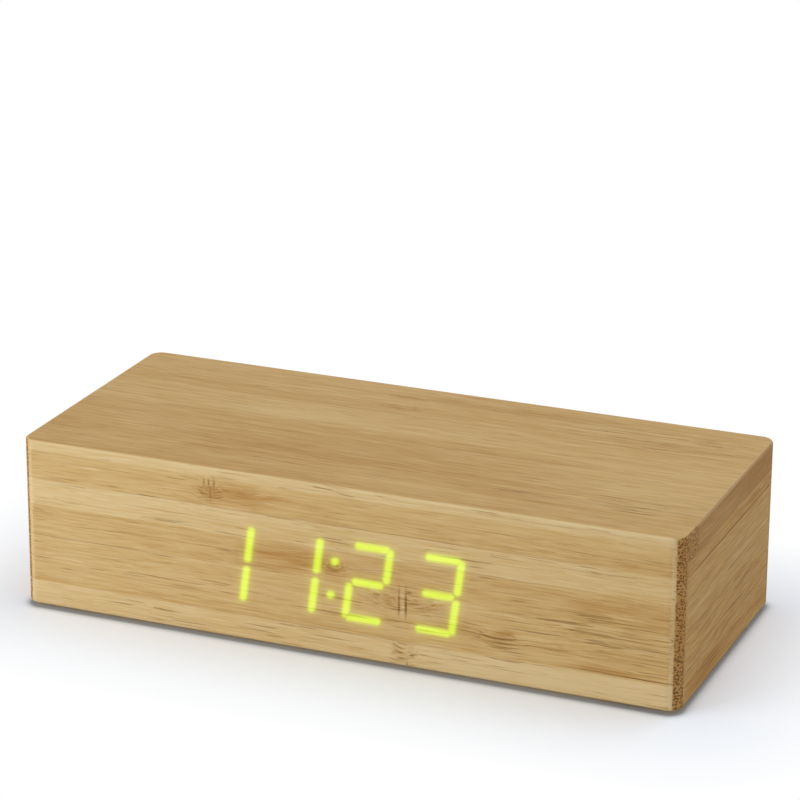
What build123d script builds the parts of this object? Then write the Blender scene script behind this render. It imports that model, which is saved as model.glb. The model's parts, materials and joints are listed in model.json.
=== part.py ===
from build123d import *
import math
import os

# Bamboo desk clock: a laminated bamboo casing whose green seven-segment display shines
# through the thinned front board. Millimetres, +Z up. The origin is the centre of the
# footprint on the surface below the feet. The display faces -Y and +X is its right.

# Casing
length = 166.0
depth = 72.0
height = 43.0
foot_height = 1.0
lid_thickness = 7.0
wall_thickness = 4.5
end_thickness = 4.5
base_thickness = 4.0
base_gap = 0.15
corner_radius = 3.4
corner_land = 0.4
edge_radius = 0.7
underside_radius = 0.5
block_size = 8.0
block_height = 12.0
overrun = 1.0
hair = 0.01

# Fits
running_gap = 0.08
loose_gap = 0.2
thread_gap = 0.05

# Feet
foot_radius = 5.0
foot_round = 0.3
foot_inset_x = 11.5
foot_inset_y = 9.5

# Wood screws that hold the base board to the corner blocks
wood_screw_length = 12.0
wood_screw_radius = 1.5
wood_screw_head_radius = 3.0
wood_screw_head_height = 1.6
wood_screw_point = 2.5
wood_screw_recess = 0.2
cross_width = 0.8
cross_depth = 1.0

# Small pan-head screws
pan_radius = 1.1
pan_head_radius = 2.2
pan_head_height = 1.4
pan_cross_depth = 0.7

# Display
front_skin = 0.8
digit_count = 4
digit_pitch = 17.6
digit_width = 11.0
stroke = 2.0
segment_gap = 0.45
slant = 7.5
colon_radius = 1.05
colon_rise_share = 0.21
display_offset = -1.8
reflector_side_margin = 5.0
reflector_end_margin = 4.9
reflector_depth = 7.5
reflector_clearance = 0.3
reflector_seat_gap = 0.1
reflector_head_gap = 0.9
diffuser_thickness = 0.3
lens_depth = 2.0
led_width = 1.4
led_height = 0.8
led_thickness = 0.5
board_thickness = 1.6
display_board_margin = 9.0
display_screw_inset = 4.5
display_screw_inset_z = 3.0
display_screw_bite = 2.7
spacer_radius = 2.4
driver_width = 10.2
driver_height = 5.4
driver_thickness = 1.5
driver_offset = 12.0

# Battery tray and its sliding door
cell_count = 3
cell_radius = 5.25
cell_length = 44.5
cell_nub_radius = 1.9
cell_nub_length = 0.9
cell_pitch = 11.0
cell_gap = 0.2
tray_wall = 1.5
tray_place_share = 0.42
tray_roof = 1.5
tray_rib_width = 1.2
tray_rib_height = 2.2
tray_rib_inset = 3.0
contact_sheet = 0.4
contact_margin = 1.6
spring_room = 2.6
spring_width = 5.0
spring_sheet = 0.35
spring_half_height = 3.4
tab_width = 2.4
tab_length = 4.2
tab_slot_gap = 0.2
tab_rise = 2.8
strip_height = 2.2
door_thickness = 1.6
door_travel = 4.5
door_gap = 0.2
lip_width = 1.0
lip_thickness = 0.8
tongue_count = 3
tongue_length = 8.0
tongue_notch_gap = 0.4
tongue_end_share = 0.18
grip_count = 5
grip_width = 0.8
grip_pitch = 1.7
grip_depth = 0.4
grip_length = 16.0
grip_inset = 6.0
ear_length = 6.0
ear_width = 8.0
ear_thickness = 1.6
ear_spacing = 24.0
ear_screw_length = 4.6

# Main circuit board
main_board_width = 37.0
main_board_depth = 39.0
main_board_edge_gap = 0.3
board_spacer_height = 1.5
board_screw_inset = 3.0
board_screw_length = 6.0
usb_offset = 12.8
tongue_board_width = 10.0
tongue_board_reach = 3.0
port_pocket_gap = 0.5
port_wall = 1.5

# Micro-USB socket: the sheet-metal shell is wide at the bottom and bevelled at the top
shell_width = 7.5
shell_height = 2.5
shell_sheet = 0.28
shell_length = 5.0
shell_bevel = 1.1
shell_bevel_height = 1.2
shell_inset = 0.1
port_gap = 0.3
insert_wall = 1.2
blade_width = 4.0
blade_thickness = 0.6
blade_setback = 0.7
blade_drop = 0.45
pin_count = 5
pin_pitch = 0.65
pin_width = 0.35
pin_thickness = 0.12

# Push buttons on the underside
button_count = 3
button_pitch = 11.0
button_place_y = 6.0
button_radius = 2.9
button_recess = 0.2
button_round = 0.4
button_travel = 0.5
flange_radius = 3.9
flange_thickness = 0.6
pocket_depth = 2.0
pocket_margin = 5.2
pocket_half_width = 5.0
pocket_radius = 2.0
switch_size = 6.0
switch_height = 2.2
plunger_radius = 1.6
plunger_hidden = 0.3
plunger_headroom = 0.2

# Parts on the main board
chip_size = 7.0
chip_height = 1.4
chip_place_shares = (0.5, 0.525)
pins_per_side = 8
lead_width = 0.35
lead_pitch = 0.8
lead_reach = 1.0
lead_thickness = 0.2
crystal_radius = 1.5
crystal_length = 8.0
crystal_place_shares = (0.5, 0.72)
capacitor_radius = 3.15
capacitor_height = 7.7
capacitor_inset = 6.0
capacitor_place_shares = (0.49, 0.69)
buzzer_radius = 4.5
buzzer_height = 5.5
buzzer_hole_radius = 0.9
buzzer_hole_depth = 2.0
buzzer_inset = 8.5
buzzer_place_share = 0.24
microphone_radius = 3.0
microphone_height = 4.0
microphone_port_radius = 0.8
microphone_port_depth = 0.5
microphone_offset_x = 6.0
microphone_inset = 9.0
socket_length = 6.0
socket_width = 7.5
socket_height = 5.8
socket_wall = 0.8
socket_offset_y = 15.5
plug_proud = 2.0
plug_gap = 0.1
lead_spacing = 2.5
header_width = 10.0
header_depth = 3.5
header_height = 4.0
header_offset_y = 8.0
display_header_depth = 4.0
display_header_height = 6.0
ribbon_thickness = 0.9
ribbon_width = 9.0
ribbon_bend = 3.0

# Battery leads
wire_radius = 0.65
wire_bend_share = 0.45
wire_run_shares = (0.3, 0.27)

# Places that follow from the sizes above
inner_x = length / 2 - end_thickness
inner_y = depth / 2 - wall_thickness
case_bottom = foot_height
base_top = case_bottom + base_thickness
lid_bottom = height - lid_thickness
corner = min(corner_radius, wall_thickness - corner_land)
foot_x = inner_x - foot_inset_x
foot_y = inner_y - foot_inset_y
screw_x = inner_x - block_size / 2
screw_y = inner_y - block_size / 2

reflector_width = (digit_count - 1) * digit_pitch + digit_width + 2 * reflector_side_margin
reflector_height = lid_bottom - base_top - reflector_seat_gap - reflector_head_gap
digit_height = reflector_height - 2 * reflector_end_margin
colon_rise = colon_rise_share * digit_height
display_z = base_top + reflector_seat_gap + reflector_height / 2
skin_y = -depth / 2 + front_skin
reflector_front = skin_y + diffuser_thickness
display_board_front = reflector_front + reflector_depth
display_board_back = display_board_front + board_thickness
display_board_width = reflector_width + 2 * display_board_margin
display_screw_x = display_board_width / 2 - display_screw_inset
display_screw_z = reflector_height / 2 - display_screw_inset_z

main_x1 = inner_x - block_size - port_pocket_gap
main_x0 = main_x1 - main_board_width
door_top = case_bottom + door_thickness
cell_z = door_top + cell_gap + cell_radius
bay_top = cell_z + cell_radius + cell_gap
bay_length = cell_length + spring_room + 2 * contact_sheet
bay_half_width = (cell_count - 1) * cell_pitch / 2 + cell_radius + cell_gap
tray_half_width = bay_half_width + tray_wall
tray_y = (display_board_back + inner_y) / 2
tray_length = bay_length + 3 * tray_wall + door_travel + door_gap
tray_x0 = -inner_x + tray_place_share * (inner_x + main_x0 - tray_length)
bay_x0 = tray_x0 + tray_wall
bay_x1 = bay_x0 + bay_length
door_x0 = bay_x0 + door_gap
door_x1 = bay_x1 + tray_wall
slot_x1 = door_x1 + door_travel + door_gap
tray_x1 = slot_x1 + tray_wall
tray_top = bay_top + tray_roof
shelf_bottom = door_top + door_gap
lip_top = case_bottom + lip_thickness
tongue_bottom = lip_top + door_gap
tongue_first = door_x0 + tongue_end_share * (door_x1 - door_x0)
tongue_last = door_x1 - tongue_end_share * (door_x1 - door_x0)

main_y1 = inner_y - main_board_edge_gap
main_y0 = main_y1 - main_board_depth
board_bottom = base_top + board_spacer_height
board_top = board_bottom + board_thickness
usb_x = main_x0 + usb_offset
usb_z = board_top + shell_height / 2
shell_back = depth / 2 - shell_inset
shell_front = shell_back - shell_length
pocket_floor = base_top - pocket_depth
switch_bottom = board_bottom - switch_height
flange_top = pocket_floor + flange_thickness
button_middle = (main_x0 + main_x1) / 2
socket_y = main_y0 + socket_offset_y
header_y = main_y0 + header_offset_y
header_x = main_x0 + header_width / 2


def block(x0, x1, y0, y1, z0, z1):
    """A box between two opposite corners."""
    middle = Pos((x0 + x1) / 2, (y0 + y1) / 2, (z0 + z1) / 2)
    return middle * Box(x1 - x0, y1 - y0, z1 - z0)


def peg(x, y, z0, z1, radius):
    """A round bar standing upright from z0 to z1."""
    return Pos(x, y, (z0 + z1) / 2) * Cylinder(radius, z1 - z0)


def bar_y(x, z, y0, y1, radius):
    """A round bar lying along Y."""
    return Pos(x, (y0 + y1) / 2, z) * Rot(90, 0, 0) * Cylinder(radius, y1 - y0)


def bar_x(y, z, x0, x1, radius):
    """A round bar lying along X."""
    return Pos((x0 + x1) / 2, y, z) * Rot(0, 90, 0) * Cylinder(radius, x1 - x0)


def four(x, y):
    """The four places that mirror one place about both middles."""
    return [(sx * x, sy * y) for sx in (-1, 1) for sy in (-1, 1)]


def row(count, pitch):
    """Places of a row of equal steps about its middle."""
    return [(i - (count - 1) / 2) * pitch for i in range(count)]


def round_underside(board, inner_faces):
    """Round the bottom edges of a board that show, leaving those against its neighbours."""
    bottom = board.faces().sort_by(Axis.Z)[0]
    shown = [edge for edge in bottom.edges() if not any(test(edge.center()) for test in inner_faces)]
    return fillet(shown, underside_radius)


# Casing

def lid():
    """Top board, full size, with round upright corners and a small round along its top."""
    board = block(-length / 2, length / 2, -depth / 2, depth / 2, lid_bottom, height)
    board = fillet(board.edges().filter_by(Axis.Z), corner)
    return fillet(board.faces().sort_by(Axis.Z)[-1].edges(), edge_radius)


def long_board(side):
    """Front (-1) or back (1) board over the full length, its outer upright corners rounded."""
    outer, inner = side * depth / 2, side * inner_y
    low, high = min(outer, inner), max(outer, inner)
    board = block(-length / 2, length / 2, low, high, case_bottom, lid_bottom)
    uprights = board.edges().filter_by(Axis.Z)
    board = fillet([edge for edge in uprights if abs(edge.center().Y - outer) < hair], corner)
    return round_underside(board, [lambda place: abs(place.Y - inner) < hair])


def front_board():
    """Front board, milled from behind to a thin skin that lets the display shine through."""
    half_width = reflector_width / 2 + reflector_clearance
    half_height = reflector_height / 2 + reflector_clearance
    pocket = block(display_offset - half_width, display_offset + half_width,
                   skin_y, -inner_y + overrun, display_z - half_height, display_z + half_height)
    board = long_board(-1) - pocket
    for x, z in display_screw_places():
        tip = -inner_y - display_screw_bite
        board -= bar_y(x, z, tip, -inner_y + overrun, pan_radius + thread_gap)
    return board


def back_board():
    """Back board with the socket's slot, and a pocket behind it for the circuit board."""
    half = tongue_board_width / 2 + port_pocket_gap
    pocket = block(usb_x - half, usb_x + half, inner_y - overrun, depth / 2 - port_wall,
                   board_bottom - port_pocket_gap, board_top + shell_height + port_pocket_gap)
    mouth = Plane((usb_x, depth / 2 + overrun, usb_z), x_dir=(1, 0, 0), z_dir=(0, -1, 0))
    slot = mouth * extrude(shell_profile(port_gap), wall_thickness + overrun)
    return long_board(1) - pocket - slot


def end_panel(side):
    """Left (-1) or right (1) end panel, glued between the front and back boards."""
    outer, inner = side * length / 2, side * inner_x
    panel = block(min(outer, inner), max(outer, inner), -inner_y, inner_y, case_bottom, lid_bottom)
    bottom = panel.faces().sort_by(Axis.Z)[0]
    shown = [edge for edge in bottom.edges() if abs(edge.center().X - outer) < hair]
    return fillet(shown, underside_radius)


def base_board():
    """Base board inside the four walls, cut out for the battery tray, buttons and screws."""
    board = block(-inner_x + base_gap, inner_x - base_gap, -inner_y + base_gap, inner_y - base_gap,
                  case_bottom, base_top)
    low, high = case_bottom - overrun, base_top + overrun
    board -= block(tray_x0 - loose_gap, tray_x1 + loose_gap,
                   tray_y - tray_half_width - loose_gap, tray_y + tray_half_width + loose_gap,
                   low, high)
    reach = (button_count - 1) * button_pitch / 2 + pocket_margin
    pocket = block(button_middle - reach, button_middle + reach,
                   button_place_y - pocket_half_width, button_place_y + pocket_half_width,
                   pocket_floor, high)
    board -= fillet(pocket.edges().filter_by(Axis.Z), pocket_radius)
    for x in row(button_count, button_pitch):
        board -= peg(button_middle + x, button_place_y, low, high, button_radius + running_gap)
    for x, y in four(screw_x, screw_y):
        board -= Pos(x, y, 0) * countersink()
    for x, y in board_screw_places():
        board -= peg(x, y, board_top - board_screw_length, high, pan_radius + thread_gap)
    for x, y in ear_places():
        tip = base_top + ear_thickness - ear_screw_length
        board -= peg(x, y, tip, high, pan_radius + thread_gap)
    return board


def corner_blocks():
    """Four glue blocks in the inner corners, drilled for the base screws."""
    blocks = []
    for x, y in four(screw_x, screw_y):
        half = block_size / 2
        piece = block(x - half, x + half, y - half, y + half, base_top, base_top + block_height)
        tip = case_bottom + wood_screw_recess + wood_screw_length
        blocks.append(piece - peg(x, y, base_top - overrun, tip, wood_screw_radius + thread_gap))
    return blocks


def countersink():
    """Clearance hole and cone for one wood screw, at the origin."""
    seat = case_bottom + wood_screw_recess
    wide, narrow = wood_screw_head_radius + thread_gap, wood_screw_radius + thread_gap
    mouth = peg(0, 0, case_bottom - overrun, seat, wide)
    cone_height = wood_screw_head_height
    cone = Pos(0, 0, seat + cone_height / 2) * Cone(wide, narrow, cone_height)
    return mouth + cone + peg(0, 0, seat, base_top + overrun, narrow)


def cross_cut(head_face, depth_in, radius):
    """The cross in a screw head whose flat face is at z = head_face, cut upwards."""
    arm = radius * 2
    first = block(-arm / 2, arm / 2, -cross_width / 2, cross_width / 2, head_face - hair,
                  head_face + depth_in)
    return first + Rot(0, 0, 90) * first


def wood_screws():
    """Four countersunk wood screws, driven up through the base board."""
    face = case_bottom + wood_screw_recess
    neck = face + wood_screw_head_height
    tip = face + wood_screw_length
    head = Pos(0, 0, (face + neck) / 2)
    head *= Cone(wood_screw_head_radius, wood_screw_radius, wood_screw_head_height)
    shank = peg(0, 0, neck, tip - wood_screw_point, wood_screw_radius)
    point = Pos(0, 0, tip - wood_screw_point / 2)
    point *= Cone(wood_screw_radius, cross_width / 2, wood_screw_point)
    screw = head + shank + point - cross_cut(face, cross_depth, wood_screw_radius)
    return [Pos(x, y, 0) * screw for x, y in four(screw_x, screw_y)]


def feet():
    """Four round rubber feet under the base board."""
    foot = peg(0, 0, 0, foot_height, foot_radius)
    foot = fillet(foot.faces().sort_by(Axis.Z)[0].edges(), foot_round)
    return [Pos(x, y, 0) * foot for x, y in four(foot_x, foot_y)]


# Display

def segment_outlines():
    """The seven segments of an upright digit about its middle, as name and corner list."""
    x, z = (digit_width - stroke) / 2, (digit_height - stroke) / 2
    half, gap = stroke / 2, segment_gap

    def across(level):
        return [(-x + gap, level), (-x + gap + half, level + half), (x - gap - half, level + half),
                (x - gap, level), (x - gap - half, level - half), (-x + gap + half, level - half)]

    def upright(side, low):
        return [(side, low + gap), (side + half, low + gap + half), (side + half, low + z - gap - half),
                (side, low + z - gap), (side - half, low + z - gap - half), (side - half, low + gap + half)]

    return {"top": across(z), "middle": across(0), "bottom": across(-z), "upper_left": upright(-x, 0),
            "upper_right": upright(x, 0), "lower_left": upright(-x, -z), "lower_right": upright(x, -z)}


lit_names = {1: ("upper_right", "lower_right"),
             2: ("top", "upper_right", "middle", "lower_left", "bottom"),
             3: ("top", "upper_right", "middle", "lower_right", "bottom")}
shown_digits = (1, 1, 2, 3)


def lean(x, z):
    """A point of an upright digit, moved sideways by the digits' slant."""
    return x + z * math.tan(math.radians(slant)), z


def display_plane(y):
    """Drawing plane at a depth y, with its own normal towards the back."""
    return Plane((display_offset, y, display_z), x_dir=(1, 0, 0), z_dir=(0, -1, 0))


def windows(front, back, lit):
    """Solids that fill the lit, unlit or all (None) segment windows from front to back."""
    pieces = []
    plane = display_plane(back)
    for x, digit in zip(row(digit_count, digit_pitch), shown_digits):
        for name, corners in segment_outlines().items():
            if lit is None or (name in lit_names[digit]) == lit:
                points = [lean(a, b) for a, b in corners]
                face = make_face(Polyline(*[(x + a, b) for a, b in points], close=True))
                pieces.append(plane * extrude(face, back - front))
    if lit is not False:
        for z in (-colon_rise, colon_rise):
            a, b = lean(0, z)
            pieces.append(plane * extrude(Pos(a, b) * Circle(colon_radius), back - front))
    return [piece.solids()[0] for piece in pieces]


def segment_centres():
    """Middle of every segment and colon dot, for the light-emitting chips."""
    places = []
    for x in row(digit_count, digit_pitch):
        for corners in segment_outlines().values():
            a = sum(corner[0] for corner in corners) / len(corners)
            b = sum(corner[1] for corner in corners) / len(corners)
            leaned = lean(a, b)
            places.append((display_offset + x + leaned[0], display_z + leaned[1]))
    for z in (-colon_rise, colon_rise):
        leaned = lean(0, z)
        places.append((display_offset + leaned[0], display_z + leaned[1]))
    return places


def reflector():
    """Moulded block behind the front skin, with one light well for each segment."""
    body = block(display_offset - reflector_width / 2, display_offset + reflector_width / 2,
                 reflector_front, display_board_front,
                 display_z - reflector_height / 2, display_z + reflector_height / 2)
    return body - windows(reflector_front - overrun, display_board_front + overrun, None)


def diffuser():
    """Thin film between the front skin and the reflector."""
    return block(display_offset - reflector_width / 2, display_offset + reflector_width / 2,
                 skin_y, reflector_front,
                 display_z - reflector_height / 2, display_z + reflector_height / 2)


def led_chips():
    """One light-emitting chip at the bottom of each well."""
    return [block(x - led_width / 2, x + led_width / 2, display_board_front - led_thickness,
                  display_board_front, z - led_height / 2, z + led_height / 2)
            for x, z in segment_centres()]


def display_screw_places():
    """Places (x, z) of the screws that hold the display board."""
    return [(display_offset + x, display_z + z) for x, z in four(display_screw_x, display_screw_z)]


def display_board():
    """Circuit board that carries the reflector and the light-emitting chips."""
    board = block(display_offset - display_board_width / 2, display_offset + display_board_width / 2,
                  display_board_front, display_board_back,
                  display_z - reflector_height / 2, display_z + reflector_height / 2)
    for x, z in display_screw_places():
        board -= bar_y(x, z, display_board_front - overrun, display_board_back + overrun,
                       pan_radius + thread_gap)
    return board


def display_spacers():
    """Four tubes that hold the display board off the front board."""
    tubes = []
    for x, z in display_screw_places():
        tube = bar_y(x, z, -inner_y, display_board_front, spacer_radius)
        bore = bar_y(x, z, -inner_y - overrun, display_board_front + overrun, pan_radius + thread_gap)
        tubes.append(tube - bore)
    return tubes


def pan_screw(shank_length):
    """Pan-head screw whose head sits on z = 0 and whose shank points down."""
    head = peg(0, 0, 0, pan_head_height, pan_head_radius)
    head = fillet(head.faces().sort_by(Axis.Z)[-1].edges(), pan_head_height / 2)
    cross = Pos(0, 0, pan_head_height) * Rot(180, 0, 0)
    cross *= cross_cut(0, pan_cross_depth, pan_radius)
    return head + peg(0, 0, -shank_length, 0, pan_radius) - cross


def display_screws():
    """Four screws through the display board and its spacers into the front board."""
    screw = Rot(-90, 0, 0) * pan_screw(board_thickness + display_board_front + inner_y
                                       + display_screw_bite)
    return [Pos(x, display_board_back, z) * screw for x, z in display_screw_places()]


def chip(long_side, short_side, thickness, per_side):
    """Chip lying on z = 0: a body and a row of bent-down leads along both long sides."""
    body = block(-long_side / 2, long_side / 2, -short_side / 2, short_side / 2, lead_thickness,
                 thickness)
    leads = []
    for x in row(per_side, lead_pitch):
        for side in (-1, 1):
            near, far = side * short_side / 2, side * (short_side / 2 + lead_reach)
            leads.append(block(x - lead_width / 2, x + lead_width / 2, min(near, far), max(near, far),
                               0, lead_thickness * 2))
    return body, leads


def display_driver():
    """Driver chip on the back of the display board."""
    body, leads = chip(driver_width, driver_height, driver_thickness, pins_per_side)
    place = Pos(display_offset + driver_offset, display_board_back, display_z) * Rot(-90, 0, 0)
    return [place * piece for piece in [body] + leads]


def display_header():
    """Ribbon connector on the back of the display board."""
    return block(header_x - header_width / 2, header_x + header_width / 2,
                 display_board_back, display_board_back + display_header_depth,
                 display_z - display_header_height / 2, display_z + display_header_height / 2)


def ribbon_cable():
    """Flat cable from the display board back and down to the main board."""
    y_start = display_board_back + display_header_depth
    y_bend = header_y - ribbon_bend
    z_bend = display_z - ribbon_bend
    half, side = ribbon_thickness / 2, ribbon_width / 2
    flat = block(header_x - side, header_x + side, y_start, y_bend, display_z - half, display_z + half)
    drop = block(header_x - side, header_x + side, header_y - half, header_y + half,
                 board_top + header_height, z_bend)
    outer = bar_x(y_bend, z_bend, header_x - side, header_x + side, ribbon_bend + half)
    inner = bar_x(y_bend, z_bend, header_x - side - overrun, header_x + side + overrun,
                  ribbon_bend - half)
    quarter = block(header_x - side, header_x + side, y_bend, header_y + ribbon_bend,
                    z_bend, display_z + ribbon_bend)
    return flat + ((outer - inner) & quarter) + drop


# Battery tray

def cell_places():
    """Y place of each cell and which way its nub points along X."""
    return [(tray_y + y, -1 if i % 2 else 1) for i, y in enumerate(row(cell_count, cell_pitch))]


def cell_centre(way):
    """Middle of a cell along X: the spring leaf takes its room at the flat end."""
    low, high = bay_x0 + contact_sheet, bay_x1 - contact_sheet
    return (high - cell_length / 2) if way > 0 else (low + cell_length / 2)


def cells():
    """AAA cells side by side, each turned end for end from the last."""
    pieces = []
    for y, way in cell_places():
        middle = cell_centre(way)
        flat_end = middle - way * cell_length / 2
        shoulder = middle + way * (cell_length / 2 - cell_nub_length)
        nub_end = middle + way * cell_length / 2
        can = bar_x(y, cell_z, min(flat_end, shoulder), max(flat_end, shoulder), cell_radius)
        nub = bar_x(y, cell_z, min(shoulder, nub_end), max(shoulder, nub_end), cell_nub_radius)
        pieces.append(can + nub)
    return pieces


def tongue_places():
    """X place of the middle of each tongue on the door."""
    step = (tongue_last - tongue_first) / (tongue_count - 1)
    return [tongue_first + i * step for i in range(tongue_count)]


def ear_places():
    """Middle (x, y) of each screw ear, beyond both ends of the tray."""
    out = ear_length / 2
    return [(x, tray_y + side * ear_spacing / 2)
            for x in (tray_x0 - out, tray_x1 + out) for side in (-1, 1)]


def across_tray(x0, x1, half_width, z0, z1):
    """A box centred on the tray's middle line."""
    return block(x0, x1, tray_y - half_width, tray_y + half_width, z0, z1)


def battery_tray():
    """Moulded tray let into the base board: a bay for the cells and rails for the door."""
    ear_top = base_top + ear_thickness
    low = case_bottom - overrun
    tray = across_tray(tray_x0, tray_x1, tray_half_width, case_bottom, tray_top)
    tray -= across_tray(bay_x0, bay_x1, bay_half_width, shelf_bottom, bay_top)
    tray -= across_tray(door_x1, tray_x1 + overrun, tray_half_width + overrun, ear_top,
                        tray_top + overrun)
    tray -= across_tray(door_x1, slot_x1, bay_half_width, shelf_bottom + tray_wall, tray_top)
    tray -= across_tray(bay_x0, slot_x1, bay_half_width, lip_top, shelf_bottom + hair)
    tray -= across_tray(bay_x0, slot_x1, bay_half_width - lip_width, low, lip_top + hair)
    notch = tongue_length / 2 + tongue_notch_gap
    for x in tongue_places():
        middle = x + door_travel
        tray -= across_tray(middle - notch, middle + notch, bay_half_width, low, lip_top + hair)
    for y in row(cell_count - 1, cell_pitch):
        tray += block(bay_x0 + tray_rib_inset, bay_x1 - tray_rib_inset,
                      tray_y + y - tray_rib_width / 2, tray_y + y + tray_rib_width / 2,
                      bay_top - tray_rib_height, bay_top)
    for x, y in ear_places():
        tray += block(x - ear_length / 2, x + ear_length / 2, y - ear_width / 2, y + ear_width / 2,
                      base_top, ear_top)
        tray -= peg(x, y, low, ear_top + overrun, pan_radius + thread_gap)
    for y0, y1, z0, z1 in (tab_window(), strip_window()):
        wall, roof = tray_y + bay_half_width, bay_top
        tray -= block(bay_x1 - overrun, door_x1 + overrun,
                      y0 - tab_slot_gap, min(y1 + tab_slot_gap, wall),
                      z0 - tab_slot_gap, min(z1 + tab_slot_gap, roof))
    return tray


def battery_door():
    """Sliding door, flush with the underside, with side tongues and a finger grip."""
    door = across_tray(door_x0, door_x1, bay_half_width - lip_width - door_gap, case_bottom, door_top)
    for x in tongue_places():
        door += across_tray(x - tongue_length / 2, x + tongue_length / 2, bay_half_width - door_gap,
                            tongue_bottom, door_top)
    for i in range(grip_count):
        x = door_x0 + grip_inset + i * grip_pitch
        door -= across_tray(x - grip_width / 2, x + grip_width / 2, grip_length / 2,
                            case_bottom - overrun, case_bottom + grip_depth)
    return door


def tab_window():
    """Y and Z span of the tab on the first cell's end contact."""
    y, z = cell_places()[0][0], cell_z + tab_rise
    return y - tab_width / 2, y + tab_width / 2, z, z + contact_sheet


def strip_window():
    """Y and Z span of the strip that runs along the side wall from the last cell's far end."""
    wall = tray_y + bay_half_width
    return wall - contact_sheet, wall, bay_top - strip_height, bay_top


def contact_plate(x0, ys):
    """Flat contact plate at one end of the bay, across the cells at the given places."""
    half = cell_radius - contact_margin
    return block(x0, x0 + contact_sheet, min(ys) - half, max(ys) + half,
                 cell_z - half, cell_z + half)


def contact_plates():
    """Contact plates at both ends; the first has a tab and the last a strip along the wall."""
    ys = [y for y, way in cell_places()]
    end = bay_x1 + tab_length
    y0, y1, z0, z1 = tab_window()
    first = contact_plate(bay_x1 - contact_sheet, ys[:1])
    first += block(bay_x1 - contact_sheet, end, y0, y1, z0, z1)
    y0, y1, z0, z1 = strip_window()
    last = contact_plate(bay_x0, ys[-1:]) + block(bay_x0, end, y0, y1, z0, z1)
    last += block(bay_x0, bay_x0 + contact_sheet, ys[-1], y1, cell_z, z1)
    bridges = [contact_plate(bay_x0 if i % 2 == 0 else bay_x1 - contact_sheet, ys[i:i + 2])
               for i in range(cell_count - 1)]
    return [first, last] + bridges


def contact_springs():
    """A folded spring leaf behind the flat end of each cell."""
    pieces = []
    for y, way in cell_places():
        plate = bay_x0 + contact_sheet if way > 0 else bay_x1 - contact_sheet
        tip, high = spring_room - hair, spring_half_height
        fold = [(0, -high), (tip, 0), (0, high), (0, high - spring_sheet * 2),
                (tip - spring_sheet * 2, 0), (0, -high + spring_sheet * 2)]
        plane = Plane((plate, y + spring_width / 2, cell_z), x_dir=(way, 0, 0), z_dir=(0, -way, 0))
        leaf = extrude(make_face(Polyline(*fold, close=True)), spring_width * way)
        pieces.append((plane * leaf).solids()[0])
    return pieces


def tray_screws():
    """Four screws through the tray's ears into the base board."""
    screw = pan_screw(ear_screw_length)
    return [Pos(x, y, base_top + ear_thickness) * screw for x, y in ear_places()]


# Main circuit board

def board_screw_places():
    """Places of the screws at the corners of the main board."""
    inset = board_screw_inset
    return [(x, y) for x in (main_x0 + inset, main_x1 - inset) for y in (main_y0 + inset, main_y1 - inset)]


def main_board():
    """Main circuit board, with a tongue that carries the socket into the back board."""
    board = block(main_x0, main_x1, main_y0, main_y1, board_bottom, board_top)
    board += block(usb_x - tongue_board_width / 2, usb_x + tongue_board_width / 2,
                   main_y1 - overrun, main_y1 + tongue_board_reach, board_bottom, board_top)
    for x, y in board_screw_places():
        board -= peg(x, y, board_bottom - overrun, board_top + overrun, pan_radius + thread_gap)
    return board


def board_spacers():
    """Four washers that hold the main board off the base board."""
    return [peg(x, y, base_top, board_bottom, spacer_radius)
            - peg(x, y, base_top - overrun, board_bottom + overrun, pan_radius + thread_gap)
            for x, y in board_screw_places()]


def board_screws():
    """Four screws through the main board and its spacers into the base board."""
    screw = pan_screw(board_screw_length)
    return [Pos(x, y, board_top) * screw for x, y in board_screw_places()]


def shell_profile(grow):
    """Socket outline about its middle, grown all round: flat at the bottom, bevelled on top."""
    x, z = shell_width / 2, shell_height / 2
    corners = [(-x, -z), (x, -z), (x, z - shell_bevel_height), (x - shell_bevel, z),
               (-x + shell_bevel, z), (-x, z - shell_bevel_height)]
    face = make_face(Polyline(*corners, close=True))
    return offset(face, grow) if grow else face


def usb_plane(y):
    """Drawing plane across the socket at a depth y, with its normal towards the front."""
    return Plane((usb_x, y, usb_z), x_dir=(1, 0, 0), z_dir=(0, -1, 0))


def usb_shell():
    """Folded metal shell of the micro-USB socket, open to the back."""
    outer = extrude(shell_profile(0), shell_length)
    inner = extrude(offset(shell_profile(0), -shell_sheet, kind=Kind.INTERSECTION), shell_length)
    return usb_plane(shell_back) * (outer - inner)


def usb_insert():
    """Moulded insert that closes the inner end of the shell and carries the contact blade."""
    plug = extrude(offset(shell_profile(0), -shell_sheet, kind=Kind.INTERSECTION), insert_wall)
    body = usb_plane(shell_front + insert_wall) * plug
    blade_top = usb_z + shell_height / 2 - shell_sheet - blade_drop
    return body + block(usb_x - blade_width / 2, usb_x + blade_width / 2, shell_front + insert_wall / 2,
                        shell_back - blade_setback, blade_top - blade_thickness, blade_top)


def usb_pins():
    """Five contacts under the blade."""
    blade_bottom = usb_z + shell_height / 2 - shell_sheet - blade_drop - blade_thickness
    return [block(usb_x + x - pin_width / 2, usb_x + x + pin_width / 2, shell_front + insert_wall,
                  shell_back - blade_setback - pin_width, blade_bottom - pin_thickness, blade_bottom)
            for x in row(pin_count, pin_pitch)]


def button_places():
    """X place of each push button."""
    return [button_middle + x for x in row(button_count, button_pitch)]


def switch_bodies():
    """Three key switches under the main board, each bored for its plunger."""
    bodies = []
    for x in button_places():
        half = switch_size / 2
        body = block(x - half, x + half, button_place_y - half, button_place_y + half,
                     switch_bottom, board_bottom)
        bore_top = switch_bottom + plunger_hidden + button_travel + plunger_headroom
        bodies.append(body - peg(x, button_place_y, switch_bottom - overrun, bore_top,
                                 plunger_radius + running_gap))
    return bodies


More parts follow.
